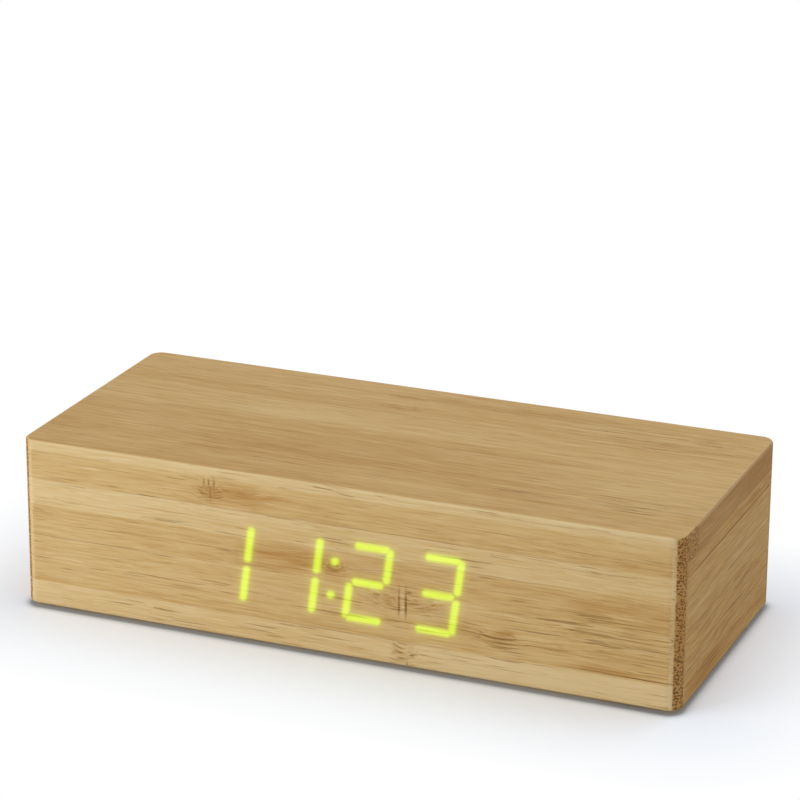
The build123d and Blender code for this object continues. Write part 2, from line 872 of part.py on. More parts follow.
def plunger(x):
    """Plunger of one key switch, standing on its button."""
    return peg(x, button_place_y, flange_top, switch_bottom + plunger_hidden, plunger_radius)


def button(x):
    """Button cap with a flange that keeps it in the base board."""
    bottom = case_bottom + button_recess
    stem = peg(x, button_place_y, bottom, pocket_floor + hair, button_radius)
    stem = fillet(stem.faces().sort_by(Axis.Z)[0].edges(), button_round)
    return stem + peg(x, button_place_y, pocket_floor, flange_top, flange_radius)


def on_board(shares):
    """A place on the main board, given as shares of its width and depth."""
    return main_x0 + shares[0] * main_board_width, main_y0 + shares[1] * main_board_depth


def controller_chip():
    """Controller chip on the main board, with leads on all four sides."""
    body, leads = chip(chip_size, chip_size, chip_height, pins_per_side)
    place = Pos(*on_board(chip_place_shares), board_top)
    return [place * piece for piece in [body] + leads + [Rot(0, 0, 90) * lead for lead in leads]]


def crystal():
    """Timekeeping crystal in its can, lying on the main board."""
    x, y = on_board(crystal_place_shares)
    return bar_x(y, board_top + crystal_radius, x - crystal_length / 2, x + crystal_length / 2,
                 crystal_radius)


def capacitors():
    """Two electrolytic capacitors beside the socket."""
    can = peg(main_x1 - capacitor_inset, 0, board_top, board_top + capacitor_height, capacitor_radius)
    can = fillet(can.faces().sort_by(Axis.Z)[-1].edges(), edge_radius)
    return [Pos(0, main_y0 + share * main_board_depth, 0) * can for share in capacitor_place_shares]


def buzzer():
    """Alarm sounder with the hole in its top."""
    x, y = main_x1 - buzzer_inset, main_y0 + buzzer_place_share * main_board_depth
    top = board_top + buzzer_height
    can = fillet(peg(x, y, board_top, top, buzzer_radius).faces().sort_by(Axis.Z)[-1].edges(),
                 edge_radius)
    return can - peg(x, y, top - buzzer_hole_depth, top + overrun, buzzer_hole_radius)


def microphone():
    """Microphone capsule that lets a clap or a tap wake the display."""
    x, y = main_x0 + microphone_offset_x, main_y1 - microphone_inset
    top = board_top + microphone_height
    capsule = peg(x, y, board_top, top, microphone_radius)
    return capsule - peg(x, y, top - microphone_port_depth, top + overrun, microphone_port_radius)


def battery_socket():
    """Socket on the main board for the battery leads, open towards the tray."""
    body = block(main_x0, main_x0 + socket_length, socket_y - socket_width / 2,
                 socket_y + socket_width / 2, board_top, board_top + socket_height)
    return body - block(main_x0 - overrun, main_x0 + socket_length - socket_wall,
                        socket_y - socket_width / 2 + socket_wall,
                        socket_y + socket_width / 2 - socket_wall,
                        board_top + socket_wall, board_top + socket_height - socket_wall)


def battery_plug():
    """Plug on the battery leads, pushed into its socket."""
    gap = socket_wall + plug_gap
    return block(main_x0 - plug_proud, main_x0 + socket_length - gap,
                 socket_y - socket_width / 2 + gap, socket_y + socket_width / 2 - gap,
                 board_top + gap, board_top + socket_height - gap)


def board_header():
    """Ribbon connector on the main board."""
    return block(header_x - header_width / 2, header_x + header_width / 2,
                 header_y - header_depth / 2, header_y + header_depth / 2,
                 board_top, board_top + header_height)


def wire_radius_at(before, at, after):
    """Bend radius at one point of a lead, as large as the two runs beside it allow."""
    first, second = at - before, after - at
    turn = math.radians(first.get_angle(second))
    return wire_bend_share * min(first.length, second.length) / math.tan(turn / 2)


def battery_lead(window, side):
    """Insulated lead from a contact's end to the plug."""
    y0, y1, z0, z1 = window
    start = Vector(bay_x1 + tab_length, (y0 + y1) / 2, (z0 + z1) / 2)
    end = Vector(main_x0 - plug_proud, socket_y + side * lead_spacing / 2,
                 board_top + socket_height / 2)
    span = end.X - start.X
    points = [start, start + Vector(span * wire_run_shares[0], 0, 0),
              end - Vector(span * wire_run_shares[1], 0, 0), end]
    bends = [wire_radius_at(*points[i - 1:i + 2]) for i in (1, 2)]
    print("lead bend radii", [round(bend, 2) for bend in bends])
    path = FilletPolyline(*points, radius=bends)
    return sweep(Plane(origin=start, z_dir=(1, 0, 0)) * Circle(wire_radius), path=path)


# Writing the files

def write(name, shape):
    """Write one sub-part; a list of solids shares a file."""
    if isinstance(shape, (list, tuple)):
        shape = Compound(children=[piece for item in shape for piece in item.solids()])
    shape.label = name
    export_step(shape, os.path.join("parts", name + ".step"))


def parts():
    """Every sub-part by name."""
    named = {
        "top_board": lid(),
        "front_board": front_board(),
        "back_board": back_board(),
        "left_end_panel": end_panel(-1),
        "right_end_panel": end_panel(1),
        "base_board": base_board(),
        "corner_blocks": corner_blocks(),
        "base_screws": wood_screws(),
        "rubber_feet": feet(),
        "display_diffuser": diffuser(),
        "display_reflector": reflector(),
        "lit_segments": windows(reflector_front, reflector_front + lens_depth, True),
        "dark_segments": windows(reflector_front, reflector_front + lens_depth, False),
        "led_chips": led_chips(),
        "display_board": display_board(),
        "display_driver_chip": display_driver(),
        "display_connector": display_header(),
        "display_spacers": display_spacers(),
        "display_screws": display_screws(),
        "ribbon_cable": ribbon_cable(),
        "battery_tray": battery_tray(),
        "battery_door": battery_door(),
        "battery_cells": cells(),
        "battery_contacts": contact_plates(),
        "battery_springs": contact_springs(),
        "tray_screws": tray_screws(),
        "battery_lead_positive": battery_lead(tab_window(), -1),
        "battery_lead_negative": battery_lead(strip_window(), 1),
        "battery_plug": battery_plug(),
        "battery_socket": battery_socket(),
        "main_board": main_board(),
        "board_spacers": board_spacers(),
        "board_screws": board_screws(),
        "board_connector": board_header(),
        "usb_shell": usb_shell(),
        "usb_insert": usb_insert(),
        "usb_contacts": usb_pins(),
        "switch_bodies": switch_bodies(),
        "controller_chip": controller_chip(),
        "clock_crystal": crystal(),
        "capacitors": capacitors(),
        "buzzer": buzzer(),
        "microphone": microphone(),
    }
    for name, x in zip(("down", "up", "set"), button_places()):
        named[name + "_button"] = button(x)
        named[name + "_plunger"] = plunger(x)
    return named


os.makedirs("parts", exist_ok=True)
for part_name, part_shape in parts().items():
    write(part_name, part_shape)
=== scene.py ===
import json
import math

import bmesh
import bpy
import numpy as np
from bpy.props import FloatProperty, FloatVectorProperty, PointerProperty
from mathutils import Matrix, Vector


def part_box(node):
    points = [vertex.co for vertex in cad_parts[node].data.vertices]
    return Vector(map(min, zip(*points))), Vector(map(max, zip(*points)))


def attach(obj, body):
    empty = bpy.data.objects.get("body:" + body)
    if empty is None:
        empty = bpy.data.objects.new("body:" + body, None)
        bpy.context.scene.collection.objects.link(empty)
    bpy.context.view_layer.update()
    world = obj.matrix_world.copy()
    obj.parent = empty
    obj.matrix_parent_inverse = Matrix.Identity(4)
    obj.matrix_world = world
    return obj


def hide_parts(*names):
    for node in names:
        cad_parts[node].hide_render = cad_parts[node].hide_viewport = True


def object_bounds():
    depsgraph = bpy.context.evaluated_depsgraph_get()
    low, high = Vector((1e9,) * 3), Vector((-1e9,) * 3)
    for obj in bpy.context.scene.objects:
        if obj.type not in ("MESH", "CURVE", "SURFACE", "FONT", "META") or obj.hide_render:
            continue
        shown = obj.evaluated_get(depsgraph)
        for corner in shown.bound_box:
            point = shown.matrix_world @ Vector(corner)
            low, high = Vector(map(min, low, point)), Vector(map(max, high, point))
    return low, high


bl_info = {
    "name": "Bamboo desk clock",
    "version": (1, 0, 0),
    "blender": (4, 5, 0),
    "location": "3D View > Sidebar > Desk clock",
    "description": "Finishes for a laminated bamboo clock whose digits shine through its front board",
    "category": "Object",
}

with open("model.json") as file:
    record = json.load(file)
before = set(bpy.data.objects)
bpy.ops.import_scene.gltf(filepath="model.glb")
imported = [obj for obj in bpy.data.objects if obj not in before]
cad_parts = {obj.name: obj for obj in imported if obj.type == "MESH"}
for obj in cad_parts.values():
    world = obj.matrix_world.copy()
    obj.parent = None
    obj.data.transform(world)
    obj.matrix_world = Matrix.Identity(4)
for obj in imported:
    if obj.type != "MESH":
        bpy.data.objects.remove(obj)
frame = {"nodes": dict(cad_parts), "record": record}
cad_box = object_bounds()

MM = 0.001
CASING = "casing"
SLOTS = {part["node"]: part["material_slot"] for part in frame["record"]["subparts"]}
OBJECT_PLACE = 3         # Texture Coordinate's Object output
NORMAL = 1               # Geometry's Normal output
BACK_FACE = 6            # Geometry's Backfacing output
CAMERA_RAY = 0           # Light Path's Is Camera Ray output
GLOSSY_RAY = 3           # Light Path's Is Glossy Ray output
TRANSMISSION_RAY = 6     # Light Path's Is Transmission Ray output
SMOOTH = {"interpolation_type": "SMOOTHSTEP"}


def linear(code):
    """Linear red, green and blue of an sRGB colour written as six hex digits."""
    parts = [int(code[i:i + 2], 16) / 255 for i in (0, 2, 4)]
    return tuple(c / 12.92 if c <= 0.04045 else ((c + 0.055) / 1.055) ** 2.4 for c in parts)


def colour_prop(name, description, code):
    """A colour that a user can change, with its default as a hex code."""
    return FloatVectorProperty(name=name, description=description, subtype="COLOR", size=3,
                               min=0.0, max=1.0, default=linear(code))


def length_prop(name, description, millimetres):
    """A length that a user can change, with its default in millimetres."""
    return FloatProperty(name=name, description=description, unit="LENGTH", min=0.0,
                         precision=5, default=millimetres * MM)


def angle_prop(name, description, degrees):
    """An angle that a user can change, with its default in degrees."""
    return FloatProperty(name=name, description=description, subtype="ANGLE",
                         default=math.radians(degrees))


def amount_prop(name, description, default, **limits):
    """A plain number that a user can change."""
    return FloatProperty(name=name, description=description, default=default, **limits)


class ClockBambooSettings(bpy.types.PropertyGroup):
    """Tones and grain sizes of the laminated bamboo."""
    pale: colour_prop("Pale wood", "Lightest wood between the fibres", "E9CF9C")
    honey: colour_prop("Honey wood", "Middle tone of the strips", "D9B67A")
    tan: colour_prop("Tan wood", "Darkest tone of a whole strip", "BC8D4C")
    line: colour_prop("Grain line", "Thin dark lines along the grain", "8F6230")
    # This colour is also a painted highlight along the rounded top edges and upright corners, besides
    # sanded wear and the pale fibres.
    edge: colour_prop("Worn edge", "Wood on the sanded edges and in the pale fibres", "EFD8A8")
    sawn: colour_prop("Cut wood", "Wood between the pores on the end grain", "C2914F")
    pore: colour_prop("Pore", "Cut fibre bundles on the end grain", "70481C")
    bundle: length_prop("Bundle spacing", "Distance between fibre bundles", 0.47)
    dash: length_prop("Fibre width", "Width of the short fibres", 0.34)
    line_gap: length_prop("Line spacing", "Distance between the dark grain lines", 0.42)
    run: length_prop("Line length", "Length of a grain line before it fades", 22.0)
    relief: length_prop("Relief", "Depth of the sanded grain", 0.1)
    roughness: amount_prop("Roughness", "Matt clear varnish over sanded bamboo", 0.55,
                           subtype="FACTOR", min=0.0, max=1.0)


class ClockDisplaySettings(bpy.types.PropertyGroup):
    """Light of the digits and how softly the skin spreads it."""
    glow: colour_prop("Digit light", "Light added to the lit wood", "9ABD18")
    strength: amount_prop("Strength", "Brightness of the digits through the wood", 1.16, min=0.0)
    soft: length_prop("Softness", "Width over which a segment's edge fades", 1.3)
    halo: length_prop("Halo", "How far a faint light creeps through the fibres", 2.0)
    soak: amount_prop("Soak", "How much of the wood's own colour the light drowns", 0.3,
                      subtype="FACTOR", min=0.0, max=1.0)
    slant: angle_prop("Slant", "Lean of the digits to the right", 7.5)


class ClockStageSettings(bpy.types.PropertyGroup):
    """Studio light, floor and camera."""
    sky: amount_prop("Sky", "Strength of the even light from all sides", 0.5, min=0.0)
    key: FloatProperty(name="Key lamp", description="Power of the large lamp at the front left",
                       unit="POWER", min=0.0, default=1.7)
    top: FloatProperty(name="Top lamp", description="Power of the lamp overhead",
                       unit="POWER", min=0.0, default=0.5)
    rear: FloatProperty(name="Rear lamp", description="Power of the lamp behind",
                        unit="POWER", min=0.0, default=0.8)
    azimuth: angle_prop("Azimuth", "Camera direction round the clock", 22.28)
    elevation: angle_prop("Elevation", "Camera direction above the table", 19.37)
    roll: angle_prop("Roll", "Turn of the view about its own axis", 0.35)
    distance: length_prop("Distance", "From the clock's foot to the camera", 809.7)
    rise: length_prop("Rise", "How far the view looks above the clock's foot", 49.63)
    aside: length_prop("Aside", "How far the view looks to the right of the clock's foot", 0.37)
    lens: amount_prop("Lens", "Focal length on a 36 mm sensor, in millimetres", 149.6, min=1.0)


def add(tree, kind, *values, out=0, sockets=None, stops=None, **settings):
    """One shader node and the output asked for. Values fill the inputs in use, in order, and
    sockets fills them by name: a socket is linked, a number or colour is set, None is left."""
    node = tree.nodes.new("ShaderNode" + kind)
    for name, value in settings.items():
        setattr(node, name, value)
    if stops:
        elements = node.color_ramp.elements
        while len(elements) < len(stops):
            elements.new(1.0)
        for element, (place, colour) in zip(elements, stops):
            element.position = place
            element.color = (*colour, 1.0) if hasattr(colour, "__len__") else (colour,) * 3 + (1.0,)
    inputs = [socket for socket in node.inputs if socket.enabled]
    named = [(node.inputs[key], value) for key, value in (sockets or {}).items()]
    for socket, value in [*zip(inputs, values), *named]:
        if isinstance(value, bpy.types.NodeSocket):
            tree.links.new(value, socket)
        elif value is not None:
            socket.default_value = (*value, 1.0) if socket.type == "RGBA" else value
    outputs = [socket for socket in node.outputs if socket.enabled]
    return outputs[out] if outputs else None


def start(name):
    """A new material, its node tree and its Object coordinates."""
    made = bpy.data.materials.new(name)
    made.use_nodes = True
    made.node_tree.nodes.clear()
    return made, made.node_tree, add(made.node_tree, "TexCoord", out=OBJECT_PLACE)


def close(made, tree, **sockets):
    """The Principled shader and the output of a material; an underscore stands for a space."""
    shader = add(tree, "BsdfPrincipled", sockets={k.replace("_", " "): v for k, v in sockets.items()})
    add(tree, "OutputMaterial", shader)
    return made


def box_distance(tree, place, half, corner):
    """Distance from a box round the origin with round corners: the length of |place| less the
    half sizes of the box within its corners, each at least 0, less the radius of the corners."""
    away = add(tree, "VectorMath", place, operation="ABSOLUTE")
    away = add(tree, "VectorMath", away, half, operation="SUBTRACT")
    away = add(tree, "VectorMath", away, (0.0, 0.0, 0.0), operation="MAXIMUM")
    away = add(tree, "VectorMath", away, operation="LENGTH")
    return add(tree, "Math", away, corner, operation="SUBTRACT")


def placed(name, data):
    """A new object in the scene."""
    made = bpy.data.objects.new(name, data)
    bpy.context.collection.objects.link(made)
    return made


# Bamboo

GRAIN = {                # Length, width and detail of each kind of streak along the grain
    "wander": (70 * MM, 18 * MM, 2.0), "wobble": (16 * MM, 3 * MM, 2.0),
    "droop": (12 * MM, 4 * MM, 1.0), "broad": (120 * MM, 5 * MM, 2.0),
    "soft": (40 * MM, 1.1 * MM, 2.0), "hairs": (20 * MM, 0.38 * MM, 1.0),
    "crowded": (4 * MM, 0.4 * MM, 1.0), "uneven": (12 * MM, 1 * MM, 3.0),
}
STREAK_ROUGHNESS = 0.55
DASH_LENGTH = 10 * MM
BUNDLE_LENGTH = 120 * MM
WANDER = 0.6 * MM        # How far long bends move a line to each side
WOBBLE = 0.13 * MM       # How far short bends move it
DROOP = (1.0 * MM, 1.6 * MM)    # How far the fibres hang in a knuckle
UNEVEN = (0.35, 1.25)    # Strength along a seam, from its faintest to its darkest
BUSY_DROP = -0.08        # What a busy place adds to the noise that the dark lines are cut from

# Where a mark starts and is full, as a value of its noise or, for pores, as the distance from a
# bundle's middle, and its strength at both
GLEAM = (0.64, 0.72, 0.0, 0.45)
DARK_LINES = (0.35, 0.29, 0.0, 0.7)
HAIRS = (0.48, 0.38, 0.0, 0.4)
CROWDED = (0.5, 0.4, 0.0, 0.6)
PORES = (0.6, 0.25, 0.0, 1.0)

# How much each thing shows
BROAD_SWING, SOFT_SWING, DASH_SWING = 0.08, 0.07, 0.22
# The share of the edge colour on the rounded top edges and corners is sanded wear and painted highlight.
KNUCKLE_TONE, EDGE_WEAR_AND_HIGHLIGHT, DARK = 0.18, 0.32, 0.75
OPEN_WOOD, DEEP_PORE, END_LOSS = 0.85, 0.9, 0.85
SHEEN, BUMP_STRENGTH, VEIL = 0.15, 0.8, 0.6
ROUGH_SWING = (-0.05, 0.08)

# Turn of a board's normal: its Z on the top edge with its slack, and how far it leans towards
# the grain where the cut wood and the rounded corner start and are full
TOP_EDGE_TURN = (0.55, 0.38)
CUT_TURN = (0.46, 0.56)
CORNER_TURN = (0.16, 0.3)
SEAM_HALF_WIDTH = 0.2
MARK_CORE = 0.1          # Share of a mark, from its centre, that has its full strength
NOISE_MIDDLE = (0.3, 0.7)


def banded(axis, span, bands):
    """A rule for a value along one axis of the place: bands are (place in mm, value), and the
    value runs straight from one to the next."""
    low, high = span
    stops = [((at - low) / (high - low), value) for at, value in bands]

    def tone(tree, place):
        at = add(tree, "SeparateXYZ", place, out=axis)
        return add(tree, "ValToRGB", add(tree, "MapRange", at, low * MM, high * MM, 0.0, 1.0), stops=stops)
    return tone


def spots(tree, flat, marks, join="MAXIMUM"):
    """Soft oval marks on a face, 0 outside them, joined by their largest or by their sum.

    A mark is (across, up, half width, half height, strength), in mm. The distance from its
    centre is divided by its half sizes, and it fades from its full strength there to its rim."""
    total = 0.0
    for across, up, wide, tall, strength in marks:
        away = add(tree, "VectorMath", flat, (across * MM, up * MM, 0.0), operation="SUBTRACT")
        ratio = add(tree, "VectorMath", away, (1 / (wide * MM), 1 / (tall * MM), 0.0), operation="MULTIPLY")
        reach = add(tree, "VectorMath", ratio, operation="LENGTH")
        mask = add(tree, "MapRange", reach, MARK_CORE, 1.0, strength, 0.0, **SMOOTH)
        total = add(tree, "Math", total, mask, operation=join)
    return total


def lines(rows):
    """Marks for thin lines along the grain, each given as (from, to, at, strength) in mm."""
    return [((a + b) / 2, at, (b - a) / 2, SEAM_HALF_WIDTH, strength) for a, b, at, strength in rows]


def stretched(tree, place, *sizes):
    """The place, with each axis counted in a pattern's size along it."""
    return add(tree, "VectorMath", place, [1 / size for size in sizes], operation="MULTIPLY")


def streaks(tree, stem, along, across, detail):
    """Noise drawn out along the grain to a length and a width."""
    drawn = stretched(tree, stem, along, across, across)
    return add(tree, "TexNoise", drawn, 1.0, detail, STREAK_ROUGHNESS)


def spread(tree, noise, low, high):
    """The middle of a noise's range drawn out to run from low to high."""
    return add(tree, "MapRange", noise, *NOISE_MIDDLE, low, high)


def board_edges(tree, along):
    """Masks from a board's normal: its rounded top edge, the start of its rounded upright corner,
    and the end grain, which shows where the surface turns towards the grain's own axis."""
    normal = add(tree, "NewGeometry", out=NORMAL)
    # Rounded top edges that face up: they get sanded wear and a painted highlight.
    edge = add(tree, "Math", add(tree, "SeparateXYZ", normal, out=2), *TOP_EDGE_TURN, operation="COMPARE")
    lean = add(tree, "Math", add(tree, "SeparateXYZ", normal, out=along), operation="ABSOLUTE")
    cut = add(tree, "MapRange", lean, *CUT_TURN, 0.0, 1.0, **SMOOTH)
    # Start of the rounded upright corner: it also gets sanded wear and a painted highlight.
    rim = add(tree, "MapRange", lean, *CORNER_TURN, 0.0, 1.0, **SMOOTH)
    return edge, add(tree, "Math", rim, cut, operation="SUBTRACT"), cut


def bamboo(name, tone, plane, seams=(), knuckles=(), patches=(), busy=(), bars=(), turned=False,
           shift=(0.0, 0.0, 0.0), glow=None, fine=1.0, cut_fade=None, fold=None):
    """Laminated bamboo, planed, sanded and matt varnished.

    Fibre bundles run the length of each strip: they draw short pale and brown dashes along
    the boards, with thin dark lines and some pale gleams between, and a field of dark dots where
    the grain is cut. At a knuckle of the stem the fibres droop and dark dashes crowd together,
    and a busy place has more lines and fine hairs.

    The tone is a rule for the shade at a place, from 0 for pale wood to 1 for tan, and patches
    add to it. Seams are dark lines, bars are dark marks, and the plane names the two axes that
    all marks are measured on. Turned wood has its grain along Y. The shift is the place in the
    pattern that a board is cut from, fine scales the swing of the small dashes, and glow gives
    the light that shines through. Between the two Y places of cut_fade, the cut grain on a
    board's ends gives way to grain that runs front to back. With fold, the height of a top
    face, the marks' Y runs on over its front edge and down."""
    wood = bpy.context.scene.clock_bamboo
    made, tree, place = start(name)
    edge, rim, cut = board_edges(tree, 1 if turned else 0)
    shift = [s * MM for s in shift]
    crosswise = (0.0, 0.0, math.radians(90))
    stem = add(tree, "Mapping", place, shift, crosswise if turned else (0.0, 0.0, 0.0))
    if cut_fade:
        near, far = cut_fade
        behind = add(tree, "MapRange", add(tree, "SeparateXYZ", place, out=1), near * MM, far * MM)
        faded = add(tree, "Math", cut, behind, operation="MULTIPLY")
        across = add(tree, "Mapping", place, shift, crosswise)
        stem = add(tree, "Mix", faded, stem, across, data_type="VECTOR")
        lost = add(tree, "Math", faded, END_LOSS, operation="MULTIPLY")
        cut = add(tree, "Math", cut, lost, operation="SUBTRACT")
    axes = [add(tree, "SeparateXYZ", place, out=i) for i in plane]
    if fold:
        drop = add(tree, "Math", add(tree, "SeparateXYZ", place, out=2), fold * MM, operation="SUBTRACT")
        axes[1] = add(tree, "Math", axes[1], drop, operation="ADD")
    face = add(tree, "CombineXYZ", *axes, 0.0)
    knot = spots(tree, face, knuckles)

    wander = spread(tree, streaks(tree, stem, *GRAIN["wander"]), -WANDER, WANDER)
    wobble = spread(tree, streaks(tree, stem, *GRAIN["wobble"]), -WOBBLE, WOBBLE)
    droop = spread(tree, streaks(tree, stem, *GRAIN["droop"]), *DROOP)
    wobble = add(tree, "Math", knot, droop, wobble, operation="MULTIPLY_ADD")
    drift = add(tree, "Math", wander, wobble, operation="ADD")
    stem = add(tree, "VectorMath", stem, add(tree, "CombineXYZ", 0.0, drift, drift), operation="ADD")
    flat = add(tree, "CombineXYZ", axes[0], add(tree, "Math", axes[1], wobble, operation="ADD"), 0.0)

    broad = streaks(tree, stem, *GRAIN["broad"])
    soft = streaks(tree, stem, *GRAIN["soft"])
    dash = streaks(tree, stem, DASH_LENGTH, wood.dash, 2.0)
    level = streaks(tree, stem, wood.run, wood.line_gap, 2.0)
    crowd = spots(tree, face, busy)
    gleam = add(tree, "MapRange", level, *GLEAM, **SMOOTH)
    level = add(tree, "Math", crowd, BUSY_DROP, level, operation="MULTIPLY_ADD")
    thin = add(tree, "MapRange", level, *DARK_LINES, **SMOOTH)
    hairs = add(tree, "MapRange", streaks(tree, stem, *GRAIN["hairs"]), *HAIRS, **SMOOTH)
    thin = add(tree, "Math", hairs, crowd, thin, operation="MULTIPLY_ADD")
    crowded = add(tree, "MapRange", streaks(tree, stem, *GRAIN["crowded"]), *CROWDED, **SMOOTH)
    thin = add(tree, "Math", crowded, knot, thin, operation="MULTIPLY_ADD")
    uneven = spread(tree, streaks(tree, stem, *GRAIN["uneven"]), *UNEVEN)
    ruled = spots(tree, flat, lines(seams))
    thin = add(tree, "Math", ruled, uneven, thin, operation="MULTIPLY_ADD")
    thin = add(tree, "Math", thin, spots(tree, flat, bars), operation="ADD")

    shade = tone(tree, place)
    for pattern, swing in ((broad, BROAD_SWING), (soft, SOFT_SWING * fine), (dash, DASH_SWING * fine)):
        shade = add(tree, "Math", shade, spread(tree, pattern, -swing, swing), operation="ADD")
    shade = add(tree, "Math", knot, KNUCKLE_TONE, shade, operation="MULTIPLY_ADD")
    shade = add(tree, "Math", shade, spots(tree, flat, patches, "ADD"), operation="ADD")
    colour = add(tree, "ValToRGB", shade, stops=[(0.0, wood.pale), (0.5, wood.honey), (1.0, wood.tan)])

    # Painted highlight and sanded wear: the top edges, the start of the upright corners and the pale gleams
    # are mixed towards the pale edge colour.
    pale_wear_and_highlight = add(tree, "Math", rim, edge, operation="MAXIMUM")
    pale_wear_and_highlight = add(tree, "Math", pale_wear_and_highlight, EDGE_WEAR_AND_HIGHLIGHT, gleam, operation="MULTIPLY_ADD", use_clamp=True)
    colour = add(tree, "Mix", pale_wear_and_highlight, colour, wood.edge, data_type="RGBA")
    dark = add(tree, "Math", thin, DARK, operation="MULTIPLY", use_clamp=True)
    colour = add(tree, "Mix", dark, colour, wood.line, data_type="RGBA")

    bundles = stretched(tree, stem, BUNDLE_LENGTH, wood.bundle, wood.bundle)
    pore = add(tree, "MapRange", add(tree, "TexVoronoi", bundles, 1.0), *PORES, **SMOOTH)
    pore = add(tree, "Math", pore, cut, operation="MULTIPLY")
    open_wood = add(tree, "Math", cut, OPEN_WOOD, operation="MULTIPLY")
    colour = add(tree, "Mix", open_wood, colour, wood.sawn, data_type="RGBA")
    deep = add(tree, "Math", pore, DEEP_PORE, operation="MULTIPLY")
    colour = add(tree, "Mix", deep, colour, wood.pore, data_type="RGBA")

    height = add(tree, "Math", dash, thin, operation="SUBTRACT")
    height = add(tree, "Math", height, pore, operation="SUBTRACT")
    rough = spread(tree, soft, *[wood.roughness + swing for swing in ROUGH_SWING])
    bump = add(tree, "Bump", BUMP_STRENGTH, wood.relief, None, height)
    lit = {}
    if glow:
        display = bpy.context.scene.clock_display
        bright = glow(tree, place)
        veil = add(tree, "MapRange", dark, 0.0, 1.0, 1.0, VEIL)
        soaked = add(tree, "Math", bright, display.soak, operation="MULTIPLY")
        colour = add(tree, "Mix", soaked, colour, display.glow, data_type="RGBA")
        lit["Emission_Color"] = display.glow
        lit["Emission_Strength"] = add(tree, "Math", bright, veil, operation="MULTIPLY")
    return close(made, tree, Base_Color=colour, Roughness=rough, Normal=bump,
                 Specular_IOR_Level=SHEEN, **lit)


# Places on the boards are in mm, X and Y from the middle and Z from the table
LID_TOP = 43.0
LID_UNDERSIDE = 36.0
LID_FOLD = 79.0          # A height on the front less this is the place on the lid, folded flat
LID_EDGE = (35.6, 35.9)  # Distance from the middle where the lid's face turns into its edges
BOARD_END = (82.6, 82.9)    # The same for a board's two ends
LID_BACK_TONE = (0.3, 0.3, 0.3)
FRONT_SPAN = (1.0, 43.0)
FRONT_BANDS = [(1.0, 0.3), (6.9, 0.24), (7.3, 0.6), (9.0, 0.52), (19.0, 0.46), (19.4, 0.6),
               (26.6, 0.58), (27.0, 0.32), (31.0, 0.28), (33.2, 0.26), (33.6, 0.62), (37.0, 0.58),
               (40.3, 0.5), (40.7, 0.24), (43.0, 0.16)]
FRONT_SEAMS = [(-120, 120, 33.3, 0.75), (-75, -52, 26.1, 0.7), (-53, 110, 26.9, 0.6),
               (-100, -34, 19.0, 0.8), (-36, -8, 20.0, 0.5), (-83, -75, 13.2, 0.9),
               (-75, 60, 7.0, 0.6), (50, 100, 7.7, 0.95), (-62, -24, 11.2, 0.35),
               (-74, -50, 38.5, 0.5), (-33, -24, 42.2, 0.9), (-34, 20, 41.2, 0.4),
               (20, 90, 41.6, 0.4), (48, 84, 20.4, 0.95), (36, 50, 18.7, 0.7), (52, 86, 16.6, 0.6),
               (46, 84, 14.6, 0.6), (60, 84, 18.4, 0.5), (45, 90, 0.9, 0.9), (-83, 10, 3.2, 0.3),
               (5, 76, 4.4, 0.3), (22, 60, 37.6, 0.45), (44, 84, 36.2, 0.5), (-20, 26, 30.4, 0.35),
               (20, 70, 23.4, 0.35), (-60, -10, 23.0, 0.3), (32, 47, 12.6, 0.7), (33, 48, 11.2, 0.7),
               (31, 46, 9.8, 0.7), (-82, -40, 16.4, 0.4), (-70, -20, 30.2, 0.35)]
FRONT_KNUCKLES = [(-33.2, 37.2, 5.0, 4.2, 0.7), (-24.0, 37.6, 9.0, 3.4, 0.2),
                  (16.0, 17.0, 13.0, 4.4, 0.8), (-1.6, 22.6, 4.6, 2.4, 0.9),
                  (16.2, 4.2, 4.6, 3.8, 0.8), (39.5, 11.2, 8.5, 3.2, 0.5)]
FRONT_PATCHES = [(74, 26, 30, 18, 0.06), (60, 4, 70, 5, -0.3), (-26.0, 37.2, 16, 4.2, 0.28),
                 (-12.0, 23.6, 19, 4.6, 0.28), (41.5, 13.7, 4.5, 1.0, 0.5), (30.0, 12.6, 12, 2.4, 0.3),
                 (68, 8.4, 16, 1.5, 0.4), (15.8, 17.0, 1.2, 5.0, -0.4), (-66, 20, 50, 40, -0.1)]
FRONT_BARS = [(14.9, 17.0, 0.42, 5.6, 0.9), (16.6, 16.8, 0.5, 5.6, 1.1), (17.3, 20.0, 1.4, 0.35, 0.8),
              (40.0, 12.4, 7.0, 0.28, 0.9), (40.5, 11.4, 7.5, 0.28, 0.8), (41.5, 10.2, 6.5, 0.3, 0.9),
              (43.0, 9.1, 5.0, 0.28, 0.8), (37.0, 10.8, 4.0, 0.25, 0.6), (68.0, 7.7, 24.0, 0.3, 0.5),
              (-31.0, 36.0, 1.6, 0.25, 0.7), (-35.2, 36.6, 1.4, 0.25, 0.8), (-31.0, 37.6, 1.6, 0.25, 0.8),
              (-35.4, 38.2, 1.2, 0.25, 0.7), (-33.6, 35.0, 1.8, 0.25, 0.7),
              (14.8, 6.2, 2.2, 0.28, 0.9), (15.4, 3.4, 1.4, 0.3, 0.9), (13.6, 2.5, 2.4, 0.28, 0.8),
              (21.0, 4.6, 2.4, 0.25, 0.7),
              (-34.6, 39.4, 0.4, 1.1, 0.8), (-33.4, 39.6, 0.35, 1.0, 0.9), (-32.0, 39.3, 0.4, 1.2, 0.8),
              (-33.0, 37.2, 0.35, 2.6, 0.6), (17.0, 1.6, 0.4, 1.6, 0.7), (15.0, 5.2, 2.4, 0.4, 0.8),
              (18.6, 4.6, 1.6, 0.5, 0.7)]
